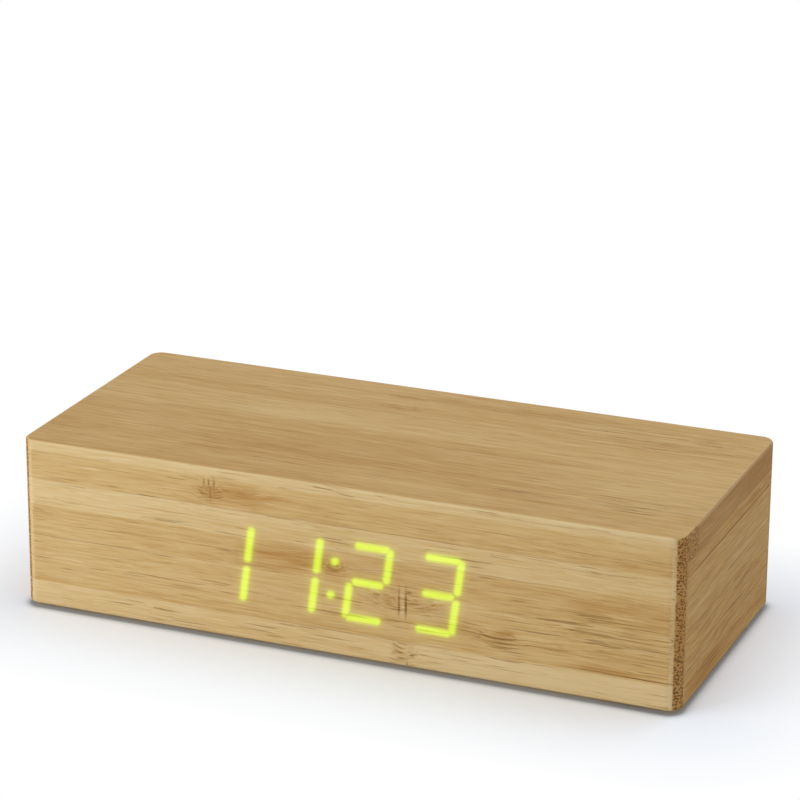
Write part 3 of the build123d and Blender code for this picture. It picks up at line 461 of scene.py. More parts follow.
FRONT_BUSY = [(66.0, 17.0, 34.0, 9.0, 0.9), (20.0, 15.0, 20.0, 8.0, 0.6)]
TOP_SPAN = (-36.0, 36.0)
TOP_BANDS = [(-36, 0.74), (-24.3, 0.72), (-23.7, 0.8), (-2, 0.74), (2, 0.6), (14.7, 0.6),
             (15.3, 0.68), (36, 0.62)]
TOP_SEAMS = [(-30, 100, 27.4, 0.6), (-70, 120, 15.4, 0.55), (30, 110, 24.0, 0.45),
             (40, 100, 18.6, 0.4), (20, 84, -22.8, 0.7), (-20, 84, -11.0, 0.3), (10, 84, -5.6, 0.35),
             (-80, -10, -16.0, 0.25), (40, 84, -17.4, 0.4), (-83, 20, 32.0, 0.3), (-50, 30, 6.0, 0.25)]
TOP_KNUCKLES = [(-8.0, 20.4, 9.0, 2.6, 0.6), (-9.0, 27.6, 8.0, 1.6, 0.5), (70.0, 26.0, 8.0, 4.0, 0.4)]
TOP_PATCHES = [(-60, -20, 30, 14, -0.12), (20, 30, 40, 8, 0.12), (-30, 6, 26, 9, -0.1),
               (10, -26, 30, 8, -0.12), (66, -12, 44, 24, -0.22)]
TOP_BUSY = [(60.0, 24.0, 50.0, 12.0, 0.6), (62.0, -22.0, 45.0, 12.0, 0.8)]
WALL_SPAN = (1.0, 36.0)
BACK_BANDS = [(1.0, 0.5), (12.0, 0.52), (24.0, 0.56), (32.0, 0.66), (36.0, 0.8)]
BACK_SEAMS = [(-120, 120, 11.8, 0.6), (-120, 120, 24.0, 0.6), (-60, 70, 31.4, 0.5),
              (-83, 30, 18.0, 0.35), (0, 83, 6.4, 0.35), (-70, 83, 28.2, 0.35)]
BACK_KNUCKLES = [(22.7, 31.5, 6.0, 4.0, 0.8), (-48.0, 8.0, 7.0, 4.0, 0.6)]
BACK_BUSY = [(0.0, 24.0, 110.0, 24.0, 0.6)]
END_BANDS = [(1.0, 0.88), (9.9, 0.84), (10.3, 0.82), (24.4, 0.76), (24.8, 0.8), (32.0, 0.78),
             (32.6, 0.9), (36.0, 0.88)]
END_SEAMS = [(-80, 80, 32.4, 1.0), (-60, 60, 11.9, 0.9), (-60, 10, 8.8, 0.8), (-30, 60, 15.9, 0.8),
             (-60, 24, 18.9, 0.7), (-40, 60, 22.6, 0.5), (-50, 60, 24.6, 0.6), (-36, 10, 5.2, 0.9),
             (-30, 4, 4.0, 0.8), (-20, 60, 29.0, 0.4), (-50, 0, 27.0, 0.4), (-10, 50, 13.4, 0.5)]
END_PATCHES = [(-16, 4, 22, 4, 0.2), (20, 34, 26, 3, 0.14)]
END_BARS = [(0, 32.3, 45, 0.35, 0.7), (-20, 18.4, 14, 0.3, 0.6), (17, 15.7, 9, 0.3, 0.7),
            (4, 12.0, 10, 0.3, 0.8), (-25, 10.8, 9, 0.3, 0.6), (20, 9.7, 14, 0.35, 0.6),
            (-10, 6.0, 18, 0.35, 0.6), (-13, 4.9, 11, 0.3, 0.9), (-12, 3.9, 9, 0.3, 0.8),
            (-28, 24.5, 6, 0.3, 0.5)]
END_BUSY = [(0.0, 14.0, 60.0, 14.0, 0.5)]
LID_END_BANDS = [(-36, 0.95), (12.9, 0.95), (13.5, 1.15), (36, 1.15)]
LID_BARS = [(-83, 0, 0.6, 90, 0.4), (83, 0, 0.6, 90, 0.4)]
BASE_SPAN = (-32.0, 32.0)
BASE_BANDS = [(-32, 0.5), (-12.2, 0.42), (-11.8, 0.6), (8.8, 0.55), (9.2, 0.4), (32, 0.45)]
BASE_SEAMS = [(-120, 120, -12.0, 0.8), (-120, 120, 9.0, 0.8)]
BASE_KNUCKLES = [(22.0, -20.0, 5.0, 6.0, 0.7)]


def over_edge(marks):
    """The front's marks that reach up to the lid, placed on its face carried on over the edge."""
    return [(across, up - LID_FOLD, *rest) for across, up, *rest in marks if up + rest[1] > LID_UNDERSIDE]


def capped(face, cap):
    """A board's tone: one rule on its face, and another on its two ends."""
    near, far = [at * MM for at in BOARD_END]

    def tone(tree, place):
        x = add(tree, "Math", add(tree, "SeparateXYZ", place), operation="ABSOLUTE")
        at_end = add(tree, "MapRange", x, near, far, 0.0, 1.0)
        return add(tree, "Mix", at_end, face(tree, place), cap(tree, place), data_type="RGBA")
    return tone


def lid_tone(tree, place):
    """Tone of the top board: by Y on its face, and by height on its front and back edges."""
    face = banded(1, TOP_SPAN, TOP_BANDS)(tree, place)
    front = banded(2, FRONT_SPAN, FRONT_BANDS)(tree, place)
    y = add(tree, "SeparateXYZ", place, out=1)
    near, far = [at * MM for at in LID_EDGE]
    at_front = add(tree, "MapRange", y, -near, -far, 0.0, 1.0)
    at_back = add(tree, "MapRange", y, near, far, 0.0, 1.0)
    both = add(tree, "Mix", at_front, face, front, data_type="RGBA")
    return add(tree, "Mix", at_back, both, LID_BACK_TONE, data_type="RGBA")


# Digits

def islands(node):
    """The points of each separate solid of a frame node.

    Equal points are made one, and each takes the lowest label of the triangles round it
    until no label changes."""
    mesh = frame["nodes"][node].data
    points = np.zeros(len(mesh.vertices) * 3)
    mesh.vertices.foreach_get("co", points)
    corners = np.zeros(len(mesh.loops), int)
    mesh.loops.foreach_get("vertex_index", corners)
    points, same = np.unique(points.reshape(-1, 3).round(7), axis=0, return_inverse=True)
    triangles = same.ravel()[corners].reshape(-1, 3)
    label = np.arange(len(points))
    while True:
        before = label.copy()
        np.minimum.at(label, triangles, label[triangles].min(axis=1)[:, None])
        if (label == before).all():
            return [points[label == value] for value in np.unique(label)]


def digit_glow(tree, place):
    """Brightness of the digits on the outer face of the front board.

    Each segment is a bar with round ends. The distance to it is that to a box with round corners:
    the straight run is the box's half size, and half the bar's width the radius. A colon dot has
    no run, and a bar that ends at a corner of its digit reaches on by `meet`, because its
    neighbour lights the same wood. The nearest bar counts, and the edge fades over the softness
    of the skin."""
    display = bpy.context.scene.clock_display
    low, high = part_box("lit_segments")
    middle, lean = (low[2] + high[2]) / 2, math.tan(display.slant)
    x, y, z = [add(tree, "SeparateXYZ", place, out=i) for i in range(3)]
    shift = add(tree, "Math", z, -lean, middle * lean, operation="MULTIPLY_ADD")
    upright = add(tree, "CombineXYZ", add(tree, "Math", x, shift, operation="ADD"), z, 0.0)
    core_from, core_to, halo_from = [share * display.soft for share in (-0.6, 0.4, -0.2)]
    core_light, halo_light = [share * display.strength for share in (0.86, 0.14)]
    nearest, meet, skin = None, 0.42 * MM, 0.4 * MM
    for points in islands("lit_segments"):
        flat = np.column_stack([points[:, 0] - (points[:, 2] - middle) * lean, points[:, 2]])
        centre = (flat.min(0) + flat.max(0)) / 2
        half = np.ptp(flat, axis=0) / 2
        if half[1] > 2 * half[0]:
            half[1] += meet
            centre[1] += math.copysign(meet, centre[1] - middle)
        elif half[0] > 2 * half[1] and abs(centre[1] - middle) > half[0]:
            half[0] += meet
        run = half - half.min()
        away = add(tree, "VectorMath", upright, (*centre, 0.0), operation="SUBTRACT")
        away = box_distance(tree, away, (*run, 0.0), half.min())
        nearest = away if nearest is None else add(tree, "Math", nearest, away, operation="MINIMUM")
    core = add(tree, "MapRange", nearest, core_from, core_to, core_light, 0.0, **SMOOTH)
    halo = add(tree, "MapRange", nearest, halo_from, display.halo, halo_light, 0.0, **SMOOTH)
    lit = add(tree, "Math", core, halo, operation="ADD")
    outer = add(tree, "Math", y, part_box("front_board")[0][1] + skin, operation="LESS_THAN")
    return add(tree, "Math", lit, outer, operation="MULTIPLY")


# Finishes of the other pieces

def plain(name, first, second, rough, grain, depth, strength=0.5, **more):
    """A finish with soft patches of a second colour over a fine surface grain, sized in mm.

    A patch is as wide as 9 grains, and the roughness swings a little with the grain."""
    patch_grains, swing = 9, 0.05
    made, tree, place = start(name)
    patch = add(tree, "TexNoise", place, 1 / (patch_grains * grain * MM), 3.0)
    fine = add(tree, "TexNoise", place, 1 / (grain * MM), 2.0)
    colour = add(tree, "Mix", spread(tree, patch, 0.0, 1.0), linear(first), linear(second),
                 data_type="RGBA")
    roughness = spread(tree, fine, rough - swing, rough + swing)
    bump = add(tree, "Bump", strength, depth * MM, None, fine)
    return close(made, tree, Base_Color=colour, Roughness=roughness, Normal=bump, **more)


def sawn_softwood(name):
    """Spruce as it leaves the saw: pale, with darker year rings and fine saw marks across."""
    made, tree, place = start(name)
    ring = add(tree, "TexWave", stretched(tree, place, 3 * MM, 3 * MM, 60 * MM), 0.6, 3.0, 2.0)
    fibre = add(tree, "TexNoise", stretched(tree, place, 0.3 * MM, 0.3 * MM, 6 * MM), 1.0, 2.0)
    saw = add(tree, "TexNoise", stretched(tree, place, 20 * MM, 20 * MM, 0.6 * MM), 1.0, 1.0)
    shade = add(tree, "Math", ring, 0.7, spread(tree, fibre, -0.1, 0.3), operation="MULTIPLY_ADD")
    colour = add(tree, "Mix", shade, linear("E3C896"), linear("BF9256"), data_type="RGBA")
    bump = add(tree, "Bump", 0.6, 0.08 * MM, None, add(tree, "Math", fibre, saw, operation="ADD"))
    return close(made, tree, Base_Color=colour, Roughness=0.75, Normal=bump)


def zinc_plated_steel(name):
    """Bright zinc over steel: a cool grey metal with a faint mottled haze."""
    return plain(name, "C6CBD1", "AEB3B8", 0.34, 0.5, 0.01, Metallic=1.0)


def moulded_rubber(name):
    """Black rubber from a mould: matt and slightly greyed, with fine pits."""
    return plain(name, "1C1C1D", "29292A", 0.86, 0.22, 0.03)


def frosted_film(name):
    """Frosted polyester film: milky white that scatters the light behind it."""
    return plain(name, "F2F2EE", "E4E6E2", 0.7, 0.15, 0.01, Transmission_Weight=0.3)


def moulded_white_nylon(name):
    """White nylon from a mould: off-white and satin, with a faint flow pattern."""
    return plain(name, "E9E7DF", "DAD8CF", 0.45, 0.8, 0.01)


def lit_resin(name):
    """Clear epoxy lit from inside: evenly bright green with a slight cloud."""
    made, tree, place = start(name)
    cloud = add(tree, "TexNoise", place, 1 / (1.5 * MM), 2.0)
    colour = add(tree, "Mix", spread(tree, cloud, 0.0, 1.0), linear("C8F53A"), linear("B4E81E"),
                 data_type="RGBA")
    return close(made, tree, Base_Color=colour, Roughness=0.2, Emission_Color=colour,
                 Emission_Strength=1.0)


def unlit_resin(name):
    """Clear epoxy with no light behind it: glossy grey-green."""
    return plain(name, "8E9484", "7C8273", 0.18, 1.2, 0.005)


def phosphor_chip(name):
    """Light-emitting chip under yellow phosphor gel: grainy amber."""
    return plain(name, "E8D25C", "D1B23C", 0.3, 0.1, 0.01)


def solder_mask(name):
    """Fibreglass board under green solder mask: glossy, with copper tracks showing paler.

    Tracks lie 2.54 mm apart, along X in some patches and across it in others."""
    half_pitch, track_edge, track_gone = 1.27 * MM, 0.35 * MM, 0.45 * MM
    made, tree, place = start(name)
    x, y, z = [add(tree, "SeparateXYZ", place, out=i) for i in range(3)]
    other = add(tree, "Math", y, z, operation="ADD")
    tracks = []
    for coordinate in (x, other):
        wave = add(tree, "Math", coordinate, half_pitch, operation="PINGPONG")
        tracks.append(add(tree, "MapRange", wave, track_edge, track_gone, 1.0, 0.0))
    patch = add(tree, "TexVoronoi", place, 1 / (6 * MM), out=2)
    choice = add(tree, "Math", add(tree, "SeparateXYZ", patch), 0.5, operation="GREATER_THAN")
    track = add(tree, "Mix", choice, *tracks)
    colour = add(tree, "Mix", track, linear("0E4A28"), linear("1E6B3C"), data_type="RGBA")
    glass = add(tree, "TexNoise", place, 1 / (0.4 * MM), 2.0)
    rough = spread(tree, glass, 0.2, 0.32)
    bump = add(tree, "Bump", 0.6, 0.035 * MM, None, track)
    return close(made, tree, Base_Color=colour, Roughness=rough, Normal=bump)


def moulded_epoxy(name):
    """Black epoxy round a chip: dark grey and matt, with a sandy surface."""
    return plain(name, "1E1E20", "2A2A2C", 0.6, 0.12, 0.02)


def ribbon_vinyl(name):
    """Grey vinyl over eight parallel wires: a soft sheen that runs in ribs 1.1 mm apart."""
    wires = 8
    made, tree, place = start(name)
    low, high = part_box("ribbon_cable")
    side = add(tree, "MapRange", add(tree, "SeparateXYZ", place), low[0], high[0], 0.0, 2.0 * wires)
    rib = add(tree, "Math", side, 1.0, operation="PINGPONG")
    mottle = add(tree, "TexNoise", place, 1 / (2 * MM), 2.0)
    # Painted sheen: the colour is lighter towards each rib's crest.
    shade = add(tree, "Math", rib, 0.4, spread(tree, mottle, 0.0, 0.4), operation="MULTIPLY_ADD")
    colour = add(tree, "Mix", shade, linear("6E7074"), linear("9EA0A4"), data_type="RGBA")
    bump = add(tree, "Bump", 1.0, 0.3 * MM, None, rib)
    return close(made, tree, Base_Color=colour, Roughness=0.42, Normal=bump)


def textured_black_abs(name):
    """Black ABS from a spark-eroded mould: charcoal with an even sandy grain."""
    return plain(name, "19191A", "242425", 0.58, 0.3, 0.05, strength=0.8)


def cell_sleeve(name):
    """Shrunk film over a drawn steel cell: dark grey with a copper band at the plus end.

    The middle cell lies the other way round, so its band is at the other end."""
    bands = [(0.0, "B9BCBE"), (0.02, "B9BCBE"), (0.03, "26282B"), (0.68, "2B2D30"), (0.69, "B0703C"),
             (0.93, "B97A45"), (0.94, "C6C8C9")]
    cells = 3
    made, tree, place = start(name)
    low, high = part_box("battery_cells")
    x, y = [add(tree, "SeparateXYZ", place, out=i) for i in range(2)]
    along = add(tree, "MapRange", x, low[0], high[0], 0.0, 1.0)
    pitch = (high[1] - low[1]) / cells
    turned = add(tree, "Math", y, (low[1] + high[1]) / 2, pitch / 2, operation="COMPARE")
    flipped = add(tree, "Math", 1.0, along, operation="SUBTRACT")
    along = add(tree, "Mix", turned, along, flipped)
    colour = add(tree, "ValToRGB", along, stops=[(at, linear(code)) for at, code in bands])
    haze = add(tree, "TexNoise", place, 1 / (3 * MM), 3.0)
    rough = spread(tree, haze, 0.2, 0.34)
    return close(made, tree, Base_Color=colour, Roughness=rough, Metallic=0.35)


def nickel_plated_steel(name):
    """Nickel over steel: a warm grey metal, rolled smooth, with light haze."""
    return plain(name, "D8D3C8", "C2BDB2", 0.24, 0.35, 0.008, Metallic=1.0)


def red_vinyl(name):
    """Red vinyl drawn over a wire: satin, a little uneven."""
    return plain(name, "B01712", "96110E", 0.4, 0.6, 0.02)


def black_vinyl(name):
    """Black vinyl drawn over a wire: satin, a little uneven."""
    return plain(name, "161617", "222223", 0.4, 0.6, 0.02)


def gold_flash(name):
    """A thin gold flash over nickel: bright yellow metal with slight wear."""
    return plain(name, "E9C46A", "D2A94B", 0.22, 0.3, 0.005, Metallic=1.0)


def drawn_aluminium(name):
    """Aluminium drawn into a can: pale metal with a satin haze."""
    return plain(name, "D9DADB", "C4C6C8", 0.3, 0.4, 0.01, Metallic=1.0)


FINISHES = {
    "softwood": sawn_softwood, "zinc_steel": zinc_plated_steel, "rubber": moulded_rubber,
    "white_film": frosted_film, "white_plastic": moulded_white_nylon, "lit_resin": lit_resin,
    "dark_resin": unlit_resin, "led_chip": phosphor_chip, "circuit_board": solder_mask,
    "black_epoxy": moulded_epoxy, "grey_vinyl": ribbon_vinyl, "black_plastic": textured_black_abs,
    "cell_can": cell_sleeve, "nickel": nickel_plated_steel, "red_vinyl": red_vinyl,
    "black_vinyl": black_vinyl, "gold": gold_flash, "aluminium_can": drawn_aluminium,
}


def finish(slot):
    """The material of a record slot, made the first time it is asked for."""
    make = FINISHES[slot]
    return bpy.data.materials.get(make.__name__) or make(make.__name__)


def dress(*nodes, made=None):
    """Give frame nodes a material, or the finish of their own slot."""
    for node in nodes:
        frame["nodes"][node].material_slots[0].material = made or finish(SLOTS[node])


# New pieces

SAME_POINT = 0.001 * MM
SHARP_EDGE = math.radians(40)


def arc(centre, radius, start_angle, end_angle, steps=7):
    """Points (across, up) of a round stretch, in degrees counted from across towards up."""
    angle = np.radians(np.linspace(start_angle, end_angle, steps))
    return np.column_stack([centre[0] + radius * np.cos(angle), centre[1] + radius * np.sin(angle)])


def turn(profile, centre, steps=64):
    """A profile of (radius, height) turned about an upright axis through the centre:
    x = radius cos a, y = radius sin a, z = height."""
    radius, height = np.vstack(profile).T[:, :, None] * MM
    angle = np.linspace(0.0, 2 * np.pi, steps, endpoint=False)
    x, y, z = np.broadcast_arrays(radius * np.cos(angle), radius * np.sin(angle), height)
    return np.stack([x + centre[0], y + centre[1], z], axis=-1)


def piece(name, grids, body, node):
    """Make one object from closed surfaces. Each grid holds rows x columns x 3: rows run along
    the profile, columns go round it and meet. It rides on the body and stands for the node."""
    points, faces, first = [], [], 0
    for grid in grids:
        rows, columns = grid.shape[:2]
        index = first + np.arange(rows * columns).reshape(rows, columns)
        index = np.column_stack([index, index[:, :1]])
        corners = [index[:-1, :-1], index[1:, :-1], index[1:, 1:], index[:-1, 1:]]
        faces.append(np.stack(corners, axis=-1).reshape(-1, 4))
        points.append(grid.reshape(-1, 3))
        first += rows * columns
    mesh = bpy.data.meshes.new(name)
    mesh.from_pydata(np.vstack(points).tolist(), [], np.vstack(faces).tolist())
    shape = bmesh.new()
    shape.from_mesh(mesh)
    bmesh.ops.remove_doubles(shape, verts=shape.verts, dist=SAME_POINT)
    bmesh.ops.recalc_face_normals(shape, faces=shape.faces)
    shape.to_mesh(mesh)
    shape.free()
    mesh.shade_smooth()
    mesh.set_sharp_from_angle(angle=SHARP_EDGE)
    mesh.materials.append(finish(SLOTS[node]))
    made = placed(name, mesh)
    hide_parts(node)
    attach(made, body)


class ClockStep:
    """What the steps share: each can be undone."""
    bl_options = {"REGISTER", "UNDO"}


class ClockTopBoard(ClockStep, bpy.types.Operator):
    """Dress the top board in bamboo"""
    bl_idname = "clock.top_board"
    bl_label = "Top board"

    def execute(self, context):
        tone = capped(lid_tone, banded(1, TOP_SPAN, LID_END_BANDS))
        seams = TOP_SEAMS + [(first, last, at - LID_FOLD, strength)
                             for first, last, at, strength in FRONT_SEAMS if at > LID_UNDERSIDE]
        made = bamboo("bamboo_top_sanded", tone, (0, 1), seams, TOP_KNUCKLES + over_edge(FRONT_KNUCKLES),
                      TOP_PATCHES + over_edge(FRONT_PATCHES), TOP_BUSY, LID_BARS + over_edge(FRONT_BARS),
                      shift=(13, 0, 0), fine=0.8, cut_fade=(-25.7, -25.4), fold=LID_TOP)
        dress("top_board", made=made)
        return {"FINISHED"}


class ClockFrontBoard(ClockStep, bpy.types.Operator):
    """Dress the front board in bamboo with the digits glowing through it"""
    bl_idname = "clock.front_board"
    bl_label = "Front board"

    def execute(self, context):
        tone = capped(banded(2, FRONT_SPAN, FRONT_BANDS), banded(2, WALL_SPAN, END_BANDS))
        made = bamboo("bamboo_front_lit", tone, (0, 2), FRONT_SEAMS, FRONT_KNUCKLES, FRONT_PATCHES,
                      FRONT_BUSY, FRONT_BARS, shift=(13, 0, 0), glow=digit_glow, cut_fade=(-33.0, -32.9))
        dress("front_board", made=made)
        return {"FINISHED"}


class ClockBackBoard(ClockStep, bpy.types.Operator):
    """Dress the back board in bamboo"""
    bl_idname = "clock.back_board"
    bl_label = "Back board"

    def execute(self, context):
        tone = capped(banded(2, WALL_SPAN, BACK_BANDS), banded(2, WALL_SPAN, END_BANDS))
        made = bamboo("bamboo_back_sanded", tone, (0, 2), BACK_SEAMS, BACK_KNUCKLES, busy=BACK_BUSY,
                      shift=(70, 31, 7), cut_fade=(33.0, 32.9))
        dress("back_board", made=made)
        return {"FINISHED"}


class ClockEndPanels(ClockStep, bpy.types.Operator):
    """Dress the two end panels in bamboo with its grain front to back"""
    bl_idname = "clock.end_panels"
    bl_label = "End panels"

    def execute(self, context):
        made = bamboo("bamboo_end_sanded", banded(2, WALL_SPAN, END_BANDS), (1, 2), END_SEAMS,
                      patches=END_PATCHES, busy=END_BUSY, bars=END_BARS, turned=True, shift=(40, 12, 3),
                      fine=0.8)
        dress("left_end_panel", "right_end_panel", made=made)
        return {"FINISHED"}


class ClockBaseBoard(ClockStep, bpy.types.Operator):
    """Dress the base board in bare bamboo"""
    bl_idname = "clock.base_board"
    bl_label = "Base board"

    def execute(self, context):
        made = bamboo("bamboo_base_bare", banded(1, BASE_SPAN, BASE_BANDS), (0, 1), BASE_SEAMS,
                      BASE_KNUCKLES, shift=(25, 60, 20))
        dress("base_board", made=made)
        return {"FINISHED"}


class ClockBlocks(ClockStep, bpy.types.Operator):
    """Dress the corner blocks and the screws"""
    bl_idname = "clock.blocks"
    bl_label = "Corner blocks and screws"

    def execute(self, context):
        dress("corner_blocks", "base_screws", "display_screws", "tray_screws", "board_screws")
        return {"FINISHED"}


class ClockFeet(ClockStep, bpy.types.Operator):
    """Make the four moulded rubber feet"""
    bl_idname = "clock.feet"
    bl_label = "Feet"

    def execute(self, context):
        """Each foot is turned: a flat top, a drawn-in side, a round rim, a ring groove and a
        shallow dish below."""
        rim, groove, bevel, dish = 0.32, 0.3, 0.05, 0.2
        groove_share, dish_share = 0.68, 0.45
        grids = []
        for points in islands("rubber_feet"):
            low, high = points.min(0), points.max(0)
            radius, top = (high[0] - low[0]) / 2 / MM, high[2] / MM
            side = radius - bevel
            profile = [[(0.0, top), (side, top)], arc((side, top - bevel), bevel, 90, 0, 3),
                       arc((side - rim, rim), rim, 0, -90),
                       arc((groove_share * radius, 0.0), groove, 0, 180, 9),
                       [(dish_share * radius, 0.0), (0.0, dish)]]
            grids.append(turn(profile, (low + high) / 2))
        piece("moulded_feet", grids, CASING, "rubber_feet")
        return {"FINISHED"}


class ClockKeys(ClockStep, bpy.types.Operator):
    """Make the three dished key caps and dress what they press"""
    bl_idname = "clock.keys"
    bl_label = "Keys"

    def execute(self, context):
        """Each cap is turned: a dished face below, a rounded rim, a stem and a flange above. The
        dish's depth falls with the square of the distance from the middle."""
        rounding, dish, stem_drop, flange_width, land = 0.45, 0.35, 0.6, 1.0, 0.7
        for key in ("set", "up", "down"):
            low, high = [np.array(corner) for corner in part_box(key + "_button")]
            flange, bottom, top = (high[0] - low[0]) / 2 / MM, low[2] / MM, high[2] / MM
            stem = flange - flange_width
            bowl = stem - land
            inner = np.linspace(0.0, bowl, 9)
            face = np.column_stack([inner, bottom + dish * (1 - (inner / bowl) ** 2)])
            profile = [face, arc((stem - rounding, bottom + rounding), rounding, -90, 0),
                       [(stem, top - stem_drop), (flange, top - stem_drop), (flange, top), (0.0, top)]]
            piece(key + "_cap", [turn(profile, (low + high) / 2)], key + "_key", key + "_button")
            dress(key + "_plunger")
        dress("switch_bodies")
        return {"FINISHED"}


class ClockSocket(ClockStep, bpy.types.Operator):
    """Make the folded shell of the power socket and dress its insert and contacts"""
    bl_idname = "clock.socket"
    bl_label = "Power socket"

    def execute(self, context):
        """The shell is an outline with round bends, carried outwards along its outer face,
        round its lip and back along its inner face."""
        bevel, bevel_height, sheet = 1.1, 1.2, 0.28
        bevel_turn, cut_share, outer_bend, least_bend = 48, 0.42, 0.55, 0.15
        low, high = [np.array(corner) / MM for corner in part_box("usb_shell")]
        middle = (low + high) / 2
        wide, tall = (high - low)[0] / 2, (high - low)[2] / 2

        def outline(inset):
            """Flat at the bottom and bevelled at the top, with a round bend at each corner, which
            is given with the directions, in degrees, that its bend starts and ends at."""
            w, h, cut = wide - inset, tall - inset, cut_share * inset
            top_end, side_end = w - bevel + cut, h - bevel_height + cut
            corners = [((w, -h), -90, 0), ((w, side_end), 0, bevel_turn),
                       ((top_end, h), bevel_turn, 90), ((-top_end, h), 90, 180 - bevel_turn),
                       ((-w, side_end), 180 - bevel_turn, 180), ((-w, -h), 180, 270)]
            bend = max(outer_bend - inset, least_bend)
            rounds = []
            for (x, z), first, last in corners:
                turned = (last - first) / 2
                bisector = math.radians((first + last) / 2)
                back = bend / math.cos(math.radians(turned))
                centre = (x - back * math.cos(bisector), z - back * math.sin(bisector))
                rounds.append(arc(centre, bend, first, last))
            return np.vstack(rounds)

        lip = sheet / 2
        steps = [(0.0, low[1]), *[(lip - lip * math.cos(a), high[1] - lip + lip * math.sin(a))
                                  for a in np.linspace(0.0, math.pi, 9)], (sheet, low[1]), (0.0, low[1])]
        rows = []
        for inset, y in steps:
            flat = outline(inset)
            across, up = flat[:, 0] + middle[0], flat[:, 1] + middle[2]
            rows.append(np.column_stack([across, np.full(len(flat), y), up]))
        piece("folded_shell", [np.stack(rows) * MM], CASING, "usb_shell")
        dress("usb_insert", "usb_contacts")
        return {"FINISHED"}


class ClockDisplay(ClockStep, bpy.types.Operator):
    """Dress the display behind the front board"""
    bl_idname = "clock.display"
    bl_label = "Display"

    def execute(self, context):
        dress("display_diffuser", "display_reflector", "lit_segments", "dark_segments", "led_chips",
              "display_board", "display_driver_chip", "display_connector", "display_spacers",
              "ribbon_cable")
        return {"FINISHED"}


class ClockBattery(ClockStep, bpy.types.Operator):
    """Dress the battery tray, its door, the cells and their leads"""
    bl_idname = "clock.battery"
    bl_label = "Battery tray"

    def execute(self, context):
        dress("battery_tray", "battery_door", "battery_cells", "battery_contacts",
              "battery_springs", "battery_lead_positive", "battery_lead_negative",
              "battery_plug", "battery_socket")
        return {"FINISHED"}


class ClockMainBoard(ClockStep, bpy.types.Operator):
    """Dress the main board and the parts on it"""
    bl_idname = "clock.main_board"
    bl_label = "Main board"

    def execute(self, context):
        dress("main_board", "board_spacers", "board_connector", "controller_chip",
              "clock_crystal", "capacitors", "buzzer", "microphone")
        return {"FINISHED"}


# Each lamp with its place and the length of its side, in metres, and what all of them face
LAMPS = (("key", (-0.42, -0.42, 0.20), 0.45), ("top", (0.3, 0.2, 0.5), 0.42),
         ("rear", (0.25, 0.8, 0.5), 0.6))
LAMP_AIM = Vector((0, 0, 0.02))
SENSOR = 36.0            # Width of the camera's sensor in mm


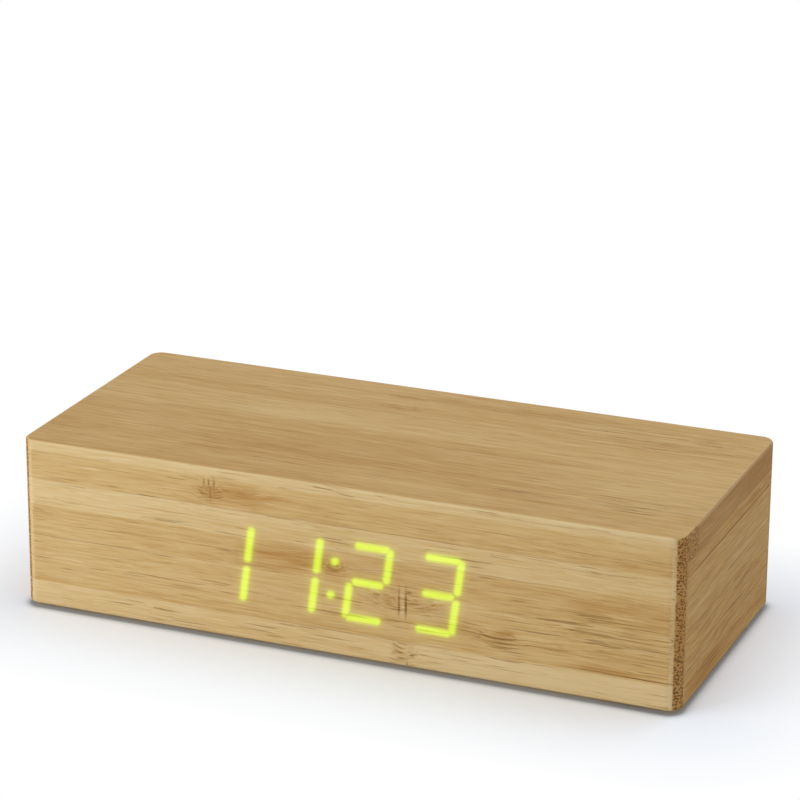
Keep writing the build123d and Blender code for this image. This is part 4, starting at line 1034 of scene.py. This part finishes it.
class ClockStage(ClockStep, bpy.types.Operator):
    """Make the floor, the lamps, the sky and the camera"""
    bl_idname = "clock.stage"
    bl_label = "Stage"

    def execute(self, context):
        stage = context.scene.clock_stage
        self.floor()
        self.sky(context.scene, stage)
        for name, place, size in LAMPS:
            self.lamp(name + "_lamp", place, size, getattr(stage, name))
        self.camera(context.scene, stage)
        context.scene.view_settings.view_transform = "Standard"
        return {"FINISHED"}

    def floor(self):
        """A flat pale floor that keeps the shadow and fades to plain white away from the clock.

        A painted shadow darkens the paper close round the clock, deepest at its outline, which is a box
        with round corners.
        Its back is clear, and under the clock it lets light through, so that the underside shows."""
        reach, fade_from, fade_to = 6.0, 4 * MM, 40 * MM
        corner, painted_shadow_reach, painted_shadow_depth, painted_shadow_falloff = 3.4 * MM, 4.5 * MM, 0.65, 4.0
        lit_tone, seen_tone = (0.8, 0.8, 0.8), (1.16, 1.24, 1.36)
        mesh = bpy.data.meshes.new("floor")
        mesh.from_pydata([(-reach, -reach, 0), (reach, -reach, 0), (reach, reach, 0),
                          (-reach, reach, 0)], [], [(0, 1, 2, 3)])
        floor = placed("floor", mesh)
        made, tree, place = start("floor_paper")
        seen = add(tree, "LightPath", out=CAMERA_RAY)
        shade = add(tree, "Mix", seen, lit_tone, seen_tone, data_type="RGBA")
        # Painted shadow: the paper's colour falls to its darkest at the clock's outline and under it, and
        # recovers within a few millimetres.
        away = box_distance(tree, place, [value - corner for value in cad_box[1]], corner)
        painted_shadow = add(tree, "MapRange", away, 0.0, painted_shadow_reach, 1.0, 0.0)
        painted_shadow = add(tree, "Math", painted_shadow, painted_shadow_falloff, operation="POWER")
        painted_shadow = add(tree, "Math", painted_shadow, -painted_shadow_depth, 1.0, operation="MULTIPLY_ADD")
        shade = add(tree, "VectorMath", shade, operation="SCALE", sockets={"Scale": painted_shadow})
        paper = add(tree, "BsdfDiffuse", shade)
        fade = add(tree, "MapRange", away, fade_from, fade_to, 0.0, 1.0)
        fade = add(tree, "Math", fade, seen, operation="MULTIPLY")
        white = add(tree, "Emission", (1.0, 1.0, 1.0), 1.0)
        paper = add(tree, "MixShader", fade, paper, white)
        under = add(tree, "Math", away, 0.0, operation="LESS_THAN")
        unseen = add(tree, "Math", 1.0, seen, operation="SUBTRACT")
        open_below = add(tree, "Math", under, unseen, operation="MULTIPLY")
        back = add(tree, "NewGeometry", out=BACK_FACE)
        open_here = add(tree, "Math", back, open_below, operation="MAXIMUM")
        clear = add(tree, "BsdfTransparent")
        add(tree, "OutputMaterial", add(tree, "MixShader", open_here, paper, clear))
        mesh.materials.append(made)

    def sky(self, scene, stage):
        """Even light for the object, and plain white for what the camera, gloss and glass see."""
        world = bpy.data.worlds.new("studio")
        world.use_nodes = True
        tree = world.node_tree
        tree.nodes.clear()
        seen = add(tree, "LightPath", out=CAMERA_RAY)
        for ray in (GLOSSY_RAY, TRANSMISSION_RAY):
            seen = add(tree, "Math", seen, add(tree, "LightPath", out=ray), operation="MAXIMUM")
        strength = add(tree, "MapRange", seen, 0.0, 1.0, stage.sky, 1.0)
        add(tree, "OutputWorld", add(tree, "Background", (1.0, 1.0, 1.0), strength))
        scene.world = world

    def lamp(self, name, place, size, power):
        """A square soft lamp that faces the clock."""
        lamp = bpy.data.lights.new(name, "AREA")
        lamp.size, lamp.energy = size, power
        held = placed(name, lamp)
        held.location = place
        held.rotation_euler = (LAMP_AIM - held.location).to_track_quat("-Z", "Y").to_euler()

    def camera(self, scene, stage):
        """Camera by direction, distance, rise and aside: back points from the clock to it."""
        az, el = stage.azimuth, stage.elevation
        back = Vector((math.sin(az) * math.cos(el), -math.cos(az) * math.cos(el), math.sin(el)))
        right = Vector((math.cos(az), math.sin(az), 0.0))
        up = back.cross(right)
        data = bpy.data.cameras.new("camera")
        data.lens, data.sensor_width = stage.lens, SENSOR
        camera = placed("camera", data)
        turned = Matrix((right, up, back)).transposed() @ Matrix.Rotation(stage.roll, 3, "Z")
        place = turned @ Vector((stage.aside, stage.rise, stage.distance))
        camera.matrix_world = Matrix.Translation(place) @ turned.to_4x4()
        scene.camera = camera


SETTINGS = (("Bamboo", "clock_bamboo", ClockBambooSettings),
            ("Display", "clock_display", ClockDisplaySettings),
            ("Stage", "clock_stage", ClockStageSettings))
STEPS = (ClockTopBoard, ClockFrontBoard, ClockBackBoard, ClockEndPanels, ClockBaseBoard,
         ClockBlocks, ClockFeet, ClockKeys, ClockSocket, ClockDisplay, ClockBattery,
         ClockMainBoard, ClockStage)


class ClockPanel(bpy.types.Panel):
    """Settings and steps of the desk clock"""
    bl_label = "Desk clock"
    bl_idname = "VIEW3D_PT_desk_clock"
    bl_space_type = "VIEW_3D"
    bl_region_type = "UI"
    bl_category = "Desk clock"

    def draw(self, context):
        for title, name, group in SETTINGS:
            box = self.layout.box()
            box.label(text=title)
            for field in group.__annotations__:
                box.prop(getattr(context.scene, name), field)
        for step in STEPS:
            self.layout.operator(step.bl_idname)


def register():
    """Register the settings, the steps and the panel."""
    for _, name, group in SETTINGS:
        bpy.utils.register_class(group)
        setattr(bpy.types.Scene, name, PointerProperty(type=group))
    for made in (*STEPS, ClockPanel):
        bpy.utils.register_class(made)


def unregister():
    """Take everything out again, in the opposite order."""
    for made in reversed((*STEPS, ClockPanel)):
        bpy.utils.unregister_class(made)
    for _, name, group in reversed(SETTINGS):
        delattr(bpy.types.Scene, name)
        bpy.utils.unregister_class(group)


def main():
    """Register the add-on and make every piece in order."""
    register()
    for made in STEPS:
        group, step = made.bl_idname.split(".")
        getattr(getattr(bpy.ops, group), step)()


if __name__ == "__main__":
    main()
